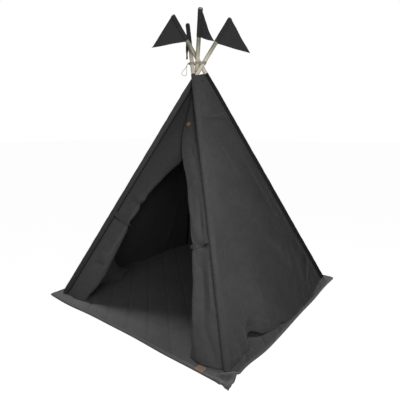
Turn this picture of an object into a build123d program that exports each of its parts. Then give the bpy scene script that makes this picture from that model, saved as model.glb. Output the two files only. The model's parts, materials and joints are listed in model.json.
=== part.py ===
from build123d import *

import os
from math import cos, radians, sin

# Four-pole teepee play tent on a quilted floor mat.
#
# Four round wooden poles cross in a cord lashing and spread to the corners of a square. A canvas
# cover hangs between them: each pole runs in a sewn sleeve, three sides are full panels, and the
# front is a doorway whose two flaps are tied back. Each pole tip carries a triangular flag.
#
# Frame: millimetres, +Z up, z = 0 on the ground under the mat, origin at the middle of the mat.
# The doorway faces -Y, and +X is on the right of someone who stands outside and looks in.

# ---- driving dimensions --------------------------------------------------------------------
# poles
POLE_DIAMETER = 22.0
POLE_LENGTH = 1800.0
SECTION_LENGTH = 900.0  # a pole is two sections, so that it packs short
SECTION_GAP = 0.2
POLE_CHAMFER = 1.5
FOOT_HALF_SPACING = 565.0  # from the middle of the mat to a pole's foot, along X and along Y
LASH_HEIGHT = 1300.0
# where each pole's axis passes at LASH_HEIGHT: the poles pass beside each other, 25 mm apart
LASH_OFFSET = {
    "front_left": (21.0, -7.0),
    "front_right": (-24.0, -35.5),
    "back_right": (4.0, 12.0),
    "back_left": (-6.5, -15.0),
}
CORNER_SIGN = {
    "front_left": (-1, -1),
    "front_right": (1, -1),
    "back_right": (1, 1),
    "back_left": (-1, 1),
}

# metal ferrule over the joint of two pole sections
FERRULE_LENGTH = 120.0
FERRULE_INNER_RADIUS = 11.05
FERRULE_OUTER_RADIUS = 12.2

# floor mat
MAT_SIZE = 1260.0
MAT_THICKNESS = 12.0
MAT_CORNER_RADIUS = 22.0
BINDING_WIDTH = 9.0
BINDING_RISE = 0.8  # the binding stands this much above the pad
TAG_LENGTH = 50.0
TAG_WIDTH = 30.0
TAG_THICKNESS = 1.6
TAG_CENTRE = (476.0, -603.0)

# cover
CLOTH = 1.2
SLEEVE_INNER_RADIUS = 12.8
SLEEVE_OUTER_RADIUS = 13.9
COVER_TOP = 1238.0
SLEEVE_TOP = 1225.0  # on the pole's axis
HEM_CLEARANCE = 0.8  # between the hem and the mat
SEAM_GAP = 1.2  # between a sleeve's outside and the edge of a panel
HEM_BULGE = 45.0  # how far a panel's hem stands out at its middle

# door flaps, tied back: their outlines on the doorway's slope
FLAP_THICKNESS = 2.4
FLAP_TOP = 1195.0
DOOR_PEAK = 830.0  # height where the flaps part
TIE_HEIGHT = 450.0
LEFT_FLAP_WIDTH = {"hem": 232.0, "low": 228.0, "tie": 163.0, "high": 165.0}
RIGHT_FLAP_WIDTH = {"hem": 168.0, "low": 158.0, "tie": 136.0, "high": 140.0}
FLAP_LOW_HEIGHT = 90.0
FLAP_HIGH_HEIGHT = 640.0
FLAP_PARTING_X = 34.0  # where the two flaps meet at the doorway's peak
FLAP_PARTING_GAP = 3.0
TIE_WIDTH = 22.0
TIE_THICKNESS = 2.0
TIE_CLEARANCE = 0.6
TIE_SEAM = 1.5  # from the sleeve to the tie's ends

# door button
BUTTON_HEIGHT = 985.0
BUTTON_X = 47.0  # near the right flap's free edge
BUTTON_DIAMETER = 22.0
BUTTON_THICKNESS = 4.5
BUTTON_RIM = 1.0
BUTTON_RIM_WIDTH = 2.5
BUTTON_HOLE_RADIUS = 1.2
BUTTON_HOLE_SPACING = 5.0

# eyelets under the cover's top hem
EYELET_HEIGHT = 1220.0
EYELET_OUTER_RADIUS = 5.5
EYELET_INNER_RADIUS = 2.8
EYELET_LIP = 0.7
EYELET_HOLE_PLAY = 0.2
HEM_FOLD = 3.2  # the cloth is folded double inside the eyelet's lips

# lashing cord
CORD_DIAMETER = 3.2
CORD_TURNS = 3
CORD_PITCH = 3.1  # the turns lie against each other
CORD_ROUNDING = 1.2
CORD_CLEARANCE = 3.2  # level turns round leaning poles
LASHING_HEIGHT = 1312.0
LOOP_LENGTH = 68.0
LOOP_WIDTH = 30.0
LOOP_NECK = 3.5  # radius of the bend at its top
LOOP_POLE = "front_right"  # the loop hangs from the lashing beside this pole
LOOP_DIRECTION = (-0.80, -0.60)
LOOP_LEAN = 20.0  # degrees from the vertical
LOOP_CLEARANCE = 0.3

# flags
FLAG_BASE = 140.0
FLAG_LENGTH = 185.0
FLAG_CLOTH = 2.0
FLAG_TIP_DROP = 9.0  # the point hangs below the middle of the base
FLAG_SLEEVE_INNER_RADIUS = 11.3
FLAG_SLEEVE_OUTER_RADIUS = 12.3
FLAG_SETBACK = 4.0  # bare wood above the flag's sleeve
# degrees each flag is turned about its pole, away from hanging straight down
FLAG_TURN = {"front_left": -3.0, "front_right": 2.0, "back_right": -4.0, "back_left": -14.0}

MAT_TOP = MAT_THICKNESS
POLE_RADIUS = POLE_DIAMETER / 2
HEM_HEIGHT = MAT_TOP + BINDING_RISE + HEM_CLEARANCE
# the sleeve's pocket closes under the foot, and the foot's lower rim stands on it
FOOT_HEIGHT = HEM_HEIGHT + CLOTH + POLE_RADIUS * sin(radians(32.5))


# ---- pole geometry -------------------------------------------------------------------------
def foot_point(corner):
    sign_x, sign_y = CORNER_SIGN[corner]
    return Vector(sign_x * FOOT_HALF_SPACING, sign_y * FOOT_HALF_SPACING, FOOT_HEIGHT)


def pole_direction(corner):
    offset_x, offset_y = LASH_OFFSET[corner]
    return (Vector(offset_x, offset_y, LASH_HEIGHT) - foot_point(corner)).normalized()


def pole_point(corner, distance):
    """A point on the pole's axis, measured along it from the foot."""
    return foot_point(corner) + pole_direction(corner) * distance


def pole_point_at_height(corner, height):
    return pole_point(corner, (height - FOOT_HEIGHT) / pole_direction(corner).Z)


def rod(corner, start, end, radius):
    """A solid round bar on the pole's axis."""
    plane = Plane(origin=pole_point(corner, start), z_dir=pole_direction(corner))
    return Solid.make_cylinder(radius, end - start, plane)


def tube(corner, start, end, outer_radius, inner_radius):
    return rod(corner, start, end, outer_radius) - rod(corner, start - 1, end + 1, inner_radius)


def half_space_below(height):
    """A block that holds everything under a height, for trimming."""
    size = 4 * MAT_SIZE
    return Pos(0, 0, height - size / 2) * Box(size, size, size)


# ---- poles ---------------------------------------------------------------------------------
def pole_section(corner, start, end):
    section = rod(corner, start, end, POLE_RADIUS)
    return chamfer(section.edges().filter_by(GeomType.CIRCLE), POLE_CHAMFER)


def pole_lower(corner):
    return pole_section(corner, 0, SECTION_LENGTH - SECTION_GAP / 2)


def pole_upper(corner):
    return pole_section(corner, SECTION_LENGTH + SECTION_GAP / 2, POLE_LENGTH)


def ferrule(corner):
    start = SECTION_LENGTH - FERRULE_LENGTH / 2
    return tube(corner, start, start + FERRULE_LENGTH, FERRULE_OUTER_RADIUS, FERRULE_INNER_RADIUS)


# ---- floor mat -----------------------------------------------------------------------------
def rounded_slab(size, corner_radius, height):
    return extrude(RectangleRounded(size, size, corner_radius), height)


def mat_pad():
    inner = MAT_SIZE - 2 * BINDING_WIDTH
    return rounded_slab(inner, MAT_CORNER_RADIUS - BINDING_WIDTH, MAT_THICKNESS)


def mat_binding():
    height = MAT_THICKNESS + BINDING_RISE
    inner = MAT_SIZE - 2 * BINDING_WIDTH
    ring = rounded_slab(MAT_SIZE, MAT_CORNER_RADIUS, height)
    ring -= rounded_slab(inner, MAT_CORNER_RADIUS - BINDING_WIDTH, height)
    outer_edges = ring.faces().sort_by(Axis.Z)[-1].outer_wire().edges()
    return chamfer(outer_edges, 2 * BINDING_RISE)


def mat_tag():
    tag = extrude(RectangleRounded(TAG_LENGTH, TAG_WIDTH, 3), TAG_THICKNESS)
    return Pos(TAG_CENTRE[0], TAG_CENTRE[1], MAT_TOP) * tag


# ---- cover ---------------------------------------------------------------------------------
def sleeve(corner):
    """A sewn tube round the pole, closed under the foot and cut level above the mat."""
    top = (SLEEVE_TOP - FOOT_HEIGHT) / pole_direction(corner).Z
    body = rod(corner, -2 * POLE_DIAMETER, top, SLEEVE_OUTER_RADIUS)
    body -= rod(corner, 0, top + 1, SLEEVE_INNER_RADIUS)
    return body - half_space_below(HEM_HEIGHT)


def seam_distance(corner, along):
    """How far from a pole's axis a panel starts, along a level direction: the level cut through
    a leaning sleeve is longer than the sleeve is wide."""
    return (SLEEVE_OUTER_RADIUS + SEAM_GAP) / along.cross(pole_direction(corner)).length


def panel_section(corner_a, corner_b, height, bulge):
    """The panel's thin level outline at a height, from sleeve to sleeve."""
    a = pole_point_at_height(corner_a, height)
    b = pole_point_at_height(corner_b, height)
    along = (b - a).normalized()
    outward = along.cross(Vector(0, 0, 1))
    a += along * seam_distance(corner_a, along)
    b -= along * seam_distance(corner_b, along)
    middle = (a + b) / 2 + outward * bulge
    inner, outer = -outward * CLOTH / 2, outward * CLOTH / 2
    edges = [
        ThreePointArc(a + outer, middle + outer, b + outer),
        Line(b + outer, b + inner),
        ThreePointArc(b + inner, middle + inner, a + inner),
        Line(a + inner, a + outer),
    ]
    return Wire(edges)


def panel(corner_a, corner_b):
    """One full side, straight at the top and bulging out at the hem. The corners run clockwise
    or anticlockwise so that the bulge points out of the tent."""
    bottom = panel_section(corner_a, corner_b, HEM_HEIGHT, HEM_BULGE)
    top = panel_section(corner_a, corner_b, COVER_TOP, CLOTH)
    return Solid.make_loft([bottom, top], ruled=True)


def eyelet_plane(corner_a, corner_b):
    """A plane on the panel's middle line at the eyelet's height, facing out."""
    low = (pole_point_at_height(corner_a, HEM_HEIGHT) + pole_point_at_height(corner_b, HEM_HEIGHT)) / 2
    high = (pole_point_at_height(corner_a, COVER_TOP) + pole_point_at_height(corner_b, COVER_TOP)) / 2
    along = (
        pole_point_at_height(corner_b, EYELET_HEIGHT) - pole_point_at_height(corner_a, EYELET_HEIGHT)
    ).normalized()
    outward = along.cross(Vector(0, 0, 1))
    low += outward * HEM_BULGE
    high += outward * CLOTH
    share = (EYELET_HEIGHT - HEM_HEIGHT) / (COVER_TOP - HEM_HEIGHT)
    normal = along.cross(high - low).normalized()
    return Plane(origin=low + (high - low) * share, x_dir=along, z_dir=normal)


def eyelet(corner_a, corner_b):
    """A metal ring through the cloth, with a flat lip on each side."""
    plane = eyelet_plane(corner_a, corner_b)
    barrel_radius = EYELET_INNER_RADIUS + EYELET_LIP
    half = HEM_FOLD / 2
    ring = Cylinder(barrel_radius, 2 * (half + EYELET_LIP))
    for side in (-1, 1):
        ring += Pos(0, 0, side * (half + EYELET_LIP / 2)) * Cylinder(EYELET_OUTER_RADIUS, EYELET_LIP)
    ring -= Cylinder(EYELET_INNER_RADIUS, 4 * half)
    return plane * ring


def panel_with_eyelet(corner_a, corner_b):
    plane = eyelet_plane(corner_a, corner_b)
    hole_radius = EYELET_INNER_RADIUS + EYELET_LIP + EYELET_HOLE_PLAY
    return panel(corner_a, corner_b) - plane * Cylinder(hole_radius, 8 * CLOTH)


# ---- doorway -------------------------------------------------------------------------------
def door_plane():
    """The doorway's slope: local X runs to the right, local Y runs up the slope, Z points out."""
    left = pole_point_at_height("front_left", HEM_HEIGHT)
    right = pole_point_at_height("front_right", HEM_HEIGHT)
    top = pole_point_at_height("front_left", FLAP_TOP) + pole_point_at_height("front_right", FLAP_TOP)
    across = (right - left).normalized()
    up = (top / 2 - (left + right) / 2).normalized()
    return Plane(origin=(left + right) / 2, x_dir=across, z_dir=across.cross(up))


def on_slope(point):
    local = door_plane().to_local_coords(point)
    return Vector(local.X, local.Y)


def slope_y(height):
    """Distance up the doorway's slope for a height above the ground."""
    rise = door_plane().y_dir.Z
    return (height - HEM_HEIGHT) / rise


def sleeve_edge(side, height):
    """The point on the slope beside the front sleeve, at a height. Side is -1 left, 1 right."""
    corner = "front_left" if side < 0 else "front_right"
    axis = on_slope(pole_point_at_height(corner, height))
    clear = seam_distance(corner, Vector(1, 0, 0))
    return Vector(axis.X - side * clear, slope_y(height))


def flap_point(side, height, width):
    """A point of the flap at a distance from the sleeve's edge."""
    edge = sleeve_edge(side, height)
    return Vector(edge.X - side * width, edge.Y)


def flap_outline(side, widths):
    """The tied-back flap: sewn beside the sleeve, and gathered where it is tied."""
    parting_top = (sleeve_edge(-1, FLAP_TOP).X + sleeve_edge(1, FLAP_TOP).X) / 2
    parting_shift = side * FLAP_PARTING_GAP / 2
    return [
        sleeve_edge(side, HEM_HEIGHT),
        flap_point(side, HEM_HEIGHT, widths["hem"]),
        flap_point(side, FLAP_LOW_HEIGHT, widths["low"]),
        flap_point(side, TIE_HEIGHT - TIE_WIDTH, widths["tie"]),
        flap_point(side, TIE_HEIGHT + TIE_WIDTH, widths["tie"]),
        flap_point(side, FLAP_HIGH_HEIGHT, widths["high"]),
        Vector(FLAP_PARTING_X + parting_shift, slope_y(DOOR_PEAK)),
        Vector(parting_top + parting_shift, slope_y(FLAP_TOP)),
        sleeve_edge(side, FLAP_TOP),
    ]


def door_flap(side, widths):
    outline = make_face(Polyline(*flap_outline(side, widths), close=True))
    return door_plane() * extrude(outline, FLAP_THICKNESS / 2, both=True)


def tie_block(side, half_height, start, end, half_depth):
    """A block on the slope that runs beside the sleeve at the tie's height."""
    low, high = TIE_HEIGHT - half_height, TIE_HEIGHT + half_height
    outline = [
        flap_point(side, low, start),
        flap_point(side, low, end),
        flap_point(side, high, end),
        flap_point(side, high, start),
    ]
    return extrude(make_face(Polyline(*outline, close=True)), half_depth, both=True)


def tie_band(side, widths):
    """A cloth band round the gathered flap, from the seam at its front to the seam behind."""
    reach = widths["tie"] + TIE_CLEARANCE
    depth = FLAP_THICKNESS / 2 + TIE_CLEARANCE
    half = TIE_WIDTH / 2
    band = tie_block(side, half, TIE_SEAM, reach + TIE_THICKNESS, depth + TIE_THICKNESS)
    band -= tie_block(side, half + 1, 0, reach, depth)
    return door_plane() * band


def button_plane():
    y = slope_y(BUTTON_HEIGHT)
    x = BUTTON_X
    plane = door_plane()
    origin = plane.from_local_coords(Vector(x, y, FLAP_THICKNESS / 2))
    return Plane(origin=origin, x_dir=plane.x_dir, z_dir=plane.z_dir)


def door_button():
    """A turned wooden button with a raised rim and four thread holes."""
    radius = BUTTON_DIAMETER / 2
    button = Pos(0, 0, BUTTON_THICKNESS / 2) * Cylinder(radius, BUTTON_THICKNESS)
    dish = Pos(0, 0, BUTTON_THICKNESS - BUTTON_RIM / 2)
    button -= dish * Cylinder(radius - BUTTON_RIM_WIDTH, BUTTON_RIM)
    holes = GridLocations(BUTTON_HOLE_SPACING, BUTTON_HOLE_SPACING, 2, 2)
    for place in holes:
        button -= place * Cylinder(BUTTON_HOLE_RADIUS, 4 * BUTTON_THICKNESS)
    return button_plane() * button


# ---- lashing -------------------------------------------------------------------------------
def cord_ring(circles):
    """A closed turn of cord round a set of circles, each given by its centre and radius."""
    half = CORD_DIAMETER / 2
    outlines = []
    for change in (half, -half):
        edges = [(Pos(x, y) * Circle(radius + change)).edge() for x, y, radius in circles]
        outlines.append(make_hull(edges))
    ring = extrude(outlines[0] - outlines[1], half, both=True)
    level_edges = ring.edges().group_by(Axis.Z)
    return fillet(level_edges[0] + level_edges[-1], CORD_ROUNDING)


def lashing_reach(corner):
    """From a pole's axis to the middle of the cord that runs round it."""
    return POLE_RADIUS / pole_direction(corner).Z + CORD_DIAMETER / 2 + CORD_CLEARANCE


def lashing_cord():
    """Turns of one cord round all four poles."""
    circles = []
    for corner in CORNER_SIGN:
        axis = pole_point_at_height(corner, LASHING_HEIGHT)
        circles.append((axis.X, axis.Y, lashing_reach(corner)))
    turn = cord_ring(circles)
    middle = (CORD_TURNS - 1) / 2
    heights = [LASHING_HEIGHT + (i - middle) * CORD_PITCH for i in range(CORD_TURNS)]
    cord = Pos(0, 0, heights[0]) * turn
    for height in heights[1:]:
        cord += Pos(0, 0, height) * turn
    return cord


def loop_plane():
    """The origin is the bend at the loop's top, beside the lashing. Local -Y runs down the loop,
    and local X points away from the lashing."""
    out = Vector(*LOOP_DIRECTION, 0).normalized()
    up = Vector(0, 0, 1)
    pole = pole_point_at_height(LOOP_POLE, LASHING_HEIGHT)
    bend = LOOP_NECK + CORD_DIAMETER / 2
    stand_off = lashing_reach(LOOP_POLE) + CORD_DIAMETER / 2 + LOOP_CLEARANCE + bend
    lean = radians(LOOP_LEAN)
    return Plane(
        origin=pole + out * stand_off,
        x_dir=out * cos(lean) + up * sin(lean),
        z_dir=out.cross(up),
    )


def cord_loop():
    """The free loop of the lashing's bow, hanging as a drop."""
    radius = LOOP_WIDTH / 2
    drop = [(0, 0, LOOP_NECK), (0, radius - LOOP_LENGTH, radius)]
    return loop_plane() * cord_ring(drop)


# ---- flags ---------------------------------------------------------------------------------
def flag(corner):
    """A pennant with a sleeve over the pole's tip. It hangs to the pole's lower side."""
    direction = pole_direction(corner)
    down_side = direction.cross(direction.cross(Vector(0, 0, 1))).normalized()
    turn = radians(FLAG_TURN[corner])
    hang = down_side * cos(turn) + down_side.cross(direction) * sin(turn)
    top = POLE_LENGTH - FLAG_SETBACK
    sleeve_tube = tube(
        corner, top - FLAG_BASE, top, FLAG_SLEEVE_OUTER_RADIUS, FLAG_SLEEVE_INNER_RADIUS
    )
    plane = Plane(origin=pole_point(corner, top), x_dir=hang, z_dir=hang.cross(direction))
    root = (FLAG_SLEEVE_INNER_RADIUS + FLAG_SLEEVE_OUTER_RADIUS) / 2
    tip_y = -FLAG_BASE / 2 - FLAG_TIP_DROP
    corners = [(root, 0), (FLAG_LENGTH, tip_y), (root, -FLAG_BASE)]
    cloth = plane * extrude(make_face(Polyline(*corners, close=True)), FLAG_CLOTH / 2, both=True)
    return sleeve_tube + cloth


# ---- the whole tent ------------------------------------------------------------------------
def build_nodes():
    nodes = {"mat_pad": mat_pad(), "mat_binding": mat_binding(), "mat_tag": mat_tag()}
    for corner in CORNER_SIGN:
        nodes[f"pole_lower_{corner}"] = pole_lower(corner)
        nodes[f"pole_upper_{corner}"] = pole_upper(corner)
        nodes[f"ferrule_{corner}"] = ferrule(corner)
        nodes[f"sleeve_{corner}"] = sleeve(corner)
        nodes[f"flag_{corner}"] = flag(corner)
    sides = {
        "right": ("front_right", "back_right"),
        "back": ("back_right", "back_left"),
        "left": ("back_left", "front_left"),
    }
    for name, corners in sides.items():
        nodes[f"panel_{name}"] = panel_with_eyelet(*corners)
        nodes[f"eyelet_{name}"] = eyelet(*corners)
    nodes["door_flap_left"] = door_flap(-1, LEFT_FLAP_WIDTH)
    nodes["door_flap_right"] = door_flap(1, RIGHT_FLAP_WIDTH)
    nodes["door_tie_left"] = tie_band(-1, LEFT_FLAP_WIDTH)
    nodes["door_tie_right"] = tie_band(1, RIGHT_FLAP_WIDTH)
    nodes["door_button"] = door_button()
    nodes["lashing_cord"] = lashing_cord()
    nodes["lashing_loop"] = cord_loop()
    return nodes


os.makedirs("parts", exist_ok=True)
for node_name, shape in build_nodes().items():
    export_step(shape, f"parts/{node_name}.step")
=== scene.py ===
import json
from math import cos, pi, radians, sin, tau

import bpy
import numpy as np
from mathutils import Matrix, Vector

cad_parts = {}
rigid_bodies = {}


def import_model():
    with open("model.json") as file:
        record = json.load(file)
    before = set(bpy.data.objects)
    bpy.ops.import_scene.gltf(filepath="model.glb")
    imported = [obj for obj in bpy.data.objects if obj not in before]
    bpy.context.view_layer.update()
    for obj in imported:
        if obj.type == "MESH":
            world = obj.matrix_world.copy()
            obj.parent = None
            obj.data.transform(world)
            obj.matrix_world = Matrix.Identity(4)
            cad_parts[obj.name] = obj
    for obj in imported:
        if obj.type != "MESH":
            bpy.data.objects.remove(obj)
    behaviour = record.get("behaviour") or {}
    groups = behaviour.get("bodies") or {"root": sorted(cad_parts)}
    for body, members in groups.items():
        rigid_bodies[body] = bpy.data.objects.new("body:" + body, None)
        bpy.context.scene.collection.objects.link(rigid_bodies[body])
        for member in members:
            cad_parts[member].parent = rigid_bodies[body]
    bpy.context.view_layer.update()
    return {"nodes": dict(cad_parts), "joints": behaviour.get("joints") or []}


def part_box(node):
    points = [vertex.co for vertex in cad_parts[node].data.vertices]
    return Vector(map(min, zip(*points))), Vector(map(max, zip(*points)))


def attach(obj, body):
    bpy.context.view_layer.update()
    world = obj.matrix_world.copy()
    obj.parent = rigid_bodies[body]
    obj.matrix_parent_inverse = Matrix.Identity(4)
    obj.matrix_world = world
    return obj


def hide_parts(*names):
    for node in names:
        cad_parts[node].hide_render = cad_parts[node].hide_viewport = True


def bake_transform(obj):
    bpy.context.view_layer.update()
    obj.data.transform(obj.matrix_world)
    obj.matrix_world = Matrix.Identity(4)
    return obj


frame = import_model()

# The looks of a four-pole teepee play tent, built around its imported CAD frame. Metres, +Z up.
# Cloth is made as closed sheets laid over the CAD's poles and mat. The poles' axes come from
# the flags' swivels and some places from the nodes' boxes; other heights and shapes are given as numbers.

CORNERS = ("front_left", "front_right", "back_right", "back_left")
JOINTS = {joint["name"]: joint for joint in frame["joints"]}
UP = np.array([0.0, 0.0, 1.0])

MAT_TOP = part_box("mat_pad")[1].z
MAT_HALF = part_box("mat_binding")[1].x
HEM_Z = MAT_TOP + 0.0016
PANEL_TOP = 1.247
POLE_RADIUS = 0.011
SLEEVE_RADIUS = 0.0139  # middle of the sleeve's cloth
CLOTH = 0.0011


# ---- small maths ----
def unit(v):
    v = np.asarray(v, float)
    return v / np.maximum(np.linalg.norm(v, axis=-1, keepdims=True), 1e-12)


def ease(x):
    x = np.clip(x, 0, 1)
    return x * x * (3 - 2 * x)


def bell(x, middle, width):
    """A smooth bump, 1 at its middle."""
    return np.exp(-(((x - middle) / width) ** 2))


def spline(x, knots):
    """A smooth curve through a few (position, value) knots, flat beyond its ends."""
    xs = np.array([k[0] for k in knots], float)
    ys = np.array([k[1] for k in knots], float)
    slopes = np.gradient(ys, xs)
    slopes[0] = slopes[-1] = 0
    x = np.clip(x, xs[0], xs[-1])
    i = np.clip(np.searchsorted(xs, x) - 1, 0, len(xs) - 2)
    h = xs[i + 1] - xs[i]
    t = (x - xs[i]) / h
    keep = 2 * t**3 - 3 * t**2 + 1
    rise = (t**3 - 2 * t**2 + t) * h
    fall = (t**3 - t**2) * h
    return keep * ys[i] + rise * slopes[i] + (1 - keep) * ys[i + 1] + fall * slopes[i + 1]


def ripple(x, y, size, seed, waves=10):
    """Smooth random relief between about -1 and 1, with features of the given size."""
    rng = np.random.default_rng(seed)
    total = 0
    for _ in range(waves):
        angle, phase = rng.uniform(0, tau, 2)
        k = tau / size * rng.uniform(0.5, 1.4)
        total = total + np.sin(k * (x * cos(angle) + y * sin(angle)) + phase)
    return total / waves**0.5 / 1.4


def crease(x, y, start, end, width, height):
    """A soft ridge from start to end that dies away at both ends."""
    start, end = np.array(start), np.array(end)
    run = end - start
    t = ((x - start[0]) * run[0] + (y - start[1]) * run[1]) / (run @ run)
    along = np.clip(t, 0, 1)
    distance = np.hypot(x - start[0] - along * run[0], y - start[1] - along * run[1])
    fade = np.sin(pi * np.clip(0.06 + 0.88 * t, 0, 1)) ** 0.7
    return height * fade * bell(distance, 0, width)


def creased(relief, x, y, ridges):
    for ridge in ridges:
        relief = relief + crease(x, y, *ridge)
    return relief


def lengths_along(path):
    steps = np.linalg.norm(np.diff(path, axis=0), axis=1)
    return np.concatenate([[0], np.cumsum(steps)])


def box_centre(node):
    low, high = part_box(node)
    return (np.array(low) + np.array(high)) / 2


def grid_normals(points):
    across = np.gradient(points, axis=1)
    upward = np.gradient(points, axis=0)
    return unit(np.cross(across, upward))


# ---- the frame's poles ----
POLES = {}
for corner in CORNERS:
    swivel = JOINTS[f"flag_{corner}_swivel"]
    POLES[corner] = (np.array(swivel["pos_m"], float), unit(swivel["axis"]))


def on_pole(corner, height):
    """Points on a pole's axis at the given heights."""
    origin, direction = POLES[corner]
    height = np.asarray(height, float)
    return origin + direction * ((height - origin[2]) / direction[2])[..., None]


def seam_distance(corner, along, radius=SLEEVE_RADIUS):
    """From a pole's axis to its sleeve's surface, along level directions."""
    return radius / np.linalg.norm(np.cross(along, POLES[corner][1]), axis=-1)


# ---- mesh making ----
class Piece:
    """Collects parts of one mesh: points, faces, cloth coordinates, materials and weights."""

    def __init__(self):
        self.points, self.faces, self.uvs, self.slots, self.weights = [], [], [], [], []
        self.count = 0

    def add(self, points, faces, uvs, slot=0, weights=0.0):
        points = np.asarray(points, float).reshape(-1, 3)
        self.faces += [tuple(int(i) + self.count for i in face) for face in faces]
        self.slots += [slot] * len(faces)
        self.points.append(points)
        self.uvs.append(np.broadcast_to(np.asarray(uvs, float), (len(points), 2)))
        self.weights.append(np.broadcast_to(np.asarray(weights, float).ravel(), len(points)))
        self.count += len(points)

    def build(self, name, materials):
        mesh = bpy.data.meshes.new(name)
        mesh.from_pydata(np.concatenate(self.points).tolist(), [], self.faces)
        uv_layer = mesh.uv_layers.new(name="cloth")
        corner_point = np.zeros(len(mesh.loops), int)
        mesh.loops.foreach_get("vertex_index", corner_point)
        uvs = np.concatenate(self.uvs)[corner_point]
        uv_layer.data.foreach_set("uv", uvs.astype(np.float32).ravel())
        mesh.polygons.foreach_set("material_index", self.slots)
        mesh.polygons.foreach_set("use_smooth", [True] * len(mesh.polygons))
        for material in materials:
            mesh.materials.append(material)
        mesh.update()
        piece = bpy.data.objects.new(name, mesh)
        bpy.context.scene.collection.objects.link(piece)
        return piece

    def place(self, name, materials, node, slot, body):
        """Builds the piece, which stands for a CAD node, if any, and moves with a body. Given
        two bodies, it is baked in place and moves with neither; it does not bend between them."""
        piece = self.build(name, materials)
        if node:
            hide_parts(node)
        if isinstance(body, str):
            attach(piece, body)
            return
        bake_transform(piece)


def grid_faces(rows, cols, first=0, flip=False):
    index = first + np.arange(rows * cols).reshape(rows, cols)
    a, b = index[:-1, :-1].ravel(), index[:-1, 1:].ravel()
    c, d = index[1:, 1:].ravel(), index[1:, :-1].ravel()
    order = (a, d, c, b) if flip else (a, b, c, d)
    return list(zip(*order))


def wall_faces(index, far):
    """The side walls round a block of a two-layered grid."""
    rim = np.concatenate([index[0, :-1], index[:-1, -1], index[-1, :0:-1], index[:0:-1, 0]])
    after = np.roll(rim, -1)
    return list(zip(rim, rim + far, after + far, after))


def add_sheet(piece, points, uvs, weights=None, outer=CLOTH / 2, inner=CLOTH / 2, hole=None):
    """A closed cloth sheet over a grid of points. The outside is where the normals point.
    A hole is a block of cells left out, as (first row, last row, first column, last column)."""
    rows, cols = points.shape[:2]
    normals = grid_normals(points)
    outer = np.broadcast_to(outer, (rows, cols))[..., None]
    inner = np.broadcast_to(inner, (rows, cols))[..., None]
    front, back = points + normals * outer, points - normals * inner
    index = np.arange(rows * cols).reshape(rows, cols)
    far = rows * cols
    faces = grid_faces(rows, cols) + grid_faces(rows, cols, far, flip=True)
    faces += wall_faces(index, far)
    if hole:
        r0, r1, c0, c1 = hole
        cut = set(index[r0 : r1 + 1, c0 : c1 + 1].ravel().tolist())
        faces = [f for f in faces if not all(int(i) % far in cut for i in f)]
        faces += [face[::-1] for face in wall_faces(index[r0 : r1 + 1, c0 : c1 + 1], far)]
    weights = np.zeros((rows, cols)) if weights is None else weights
    piece.add(
        np.concatenate([front.reshape(-1, 3), back.reshape(-1, 3)]),
        faces,
        np.concatenate([uvs.reshape(-1, 2)] * 2),
        weights=np.concatenate([weights.ravel()] * 2),
    )


def resample(path, pitch, *others):
    """Evenly spaced points on a polyline, and any values that go with it."""
    length = lengths_along(path)
    count = max(int(length[-1] / pitch), 2)
    at = np.linspace(pitch / 2, length[-1] - pitch / 2, count)
    out = []
    for values in (path, *others):
        values = np.asarray(values, float)
        flat = values.reshape(len(values), -1)
        out.append(np.stack([np.interp(at, length, column) for column in flat.T], axis=-1))
    return out


STITCH = {"pitch": 0.0042, "length": 0.0031, "width": 0.0009, "height": 0.0005}


def add_stitches(piece, path, normals, weights=None, pitch=STITCH["pitch"], scale=1.0):
    """A row of thread stitches along a path on a surface, in the piece's second material."""
    weights = np.zeros(len(path)) if weights is None else weights
    centres, normals, weights = resample(path, pitch, normals, weights)
    if len(centres) < 3:
        return
    forward = unit(np.gradient(centres, axis=0))
    normals = unit(normals)
    side = unit(np.cross(forward, normals))
    half, width = STITCH["length"] * scale / 2, STITCH["width"] * scale / 2
    height = STITCH["height"] * scale
    shape = [
        centres - forward * half,
        centres + forward * half,
        centres + side * width,
        centres - side * width,
        centres + normals * height,
        centres - normals * height,
    ]
    points = np.stack(shape, axis=1).reshape(-1, 3)
    ends = ((0, 2, 4), (2, 1, 4), (1, 3, 4), (3, 0, 4), (2, 0, 5), (1, 2, 5), (3, 1, 5), (0, 3, 5))
    faces = [tuple(6 * n + i for i in face) for n in range(len(centres)) for face in ends]
    uvs = np.repeat(centres[:, :2], 6, axis=0)
    piece.add(points, faces, uvs, 1, np.repeat(weights.ravel(), 6))


def frames_along(path):
    """Two side directions at each point of a path that turn as little as they can."""
    forward = unit(np.gradient(path, axis=0))
    side = unit(np.cross(forward[0], UP if abs(forward[0][2]) < 0.9 else [1.0, 0, 0]))
    sides = []
    for direction in forward:
        side = unit(side - direction * (side @ direction))
        sides.append(side)
    sides = np.array(sides)
    return sides, np.cross(forward, sides)


def add_cord(piece, path, radius, sides=10, lay=0.011):
    """A two-ply twisted cord along a path, closed at both ends."""
    right, over = frames_along(path)
    angle = np.linspace(0, tau, sides, endpoint=False)
    twist = tau * lengths_along(path) / lay
    lobes = radius * (0.86 + 0.17 * np.cos(2 * (angle[None] - twist[:, None])))
    across, up = np.cos(angle)[None, :, None], np.sin(angle)[None, :, None]
    ring = across * right[:, None] + up * over[:, None]
    points = path[:, None] + ring * lobes[..., None]
    add_wrapped(piece, points, np.stack([angle / tau * 0.01, angle * 0], -1))


def add_wrapped(piece, points, uvs):
    """A closed skin over rings of points, with its two end rings capped."""
    rows, cols = points.shape[:2]
    index = np.arange(rows * cols).reshape(rows, cols)
    a, b = index[:-1].ravel(), np.roll(index, -1, axis=1)[:-1].ravel()
    c, d = np.roll(index, -1, axis=1)[1:].ravel(), index[1:].ravel()
    faces = list(zip(a, b, c, d)) + [tuple(index[0][::-1]), tuple(index[-1])]
    uvs = np.broadcast_to(uvs, (rows, cols, 2)).reshape(-1, 2)
    piece.add(points.reshape(-1, 3), faces, uvs)


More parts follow.
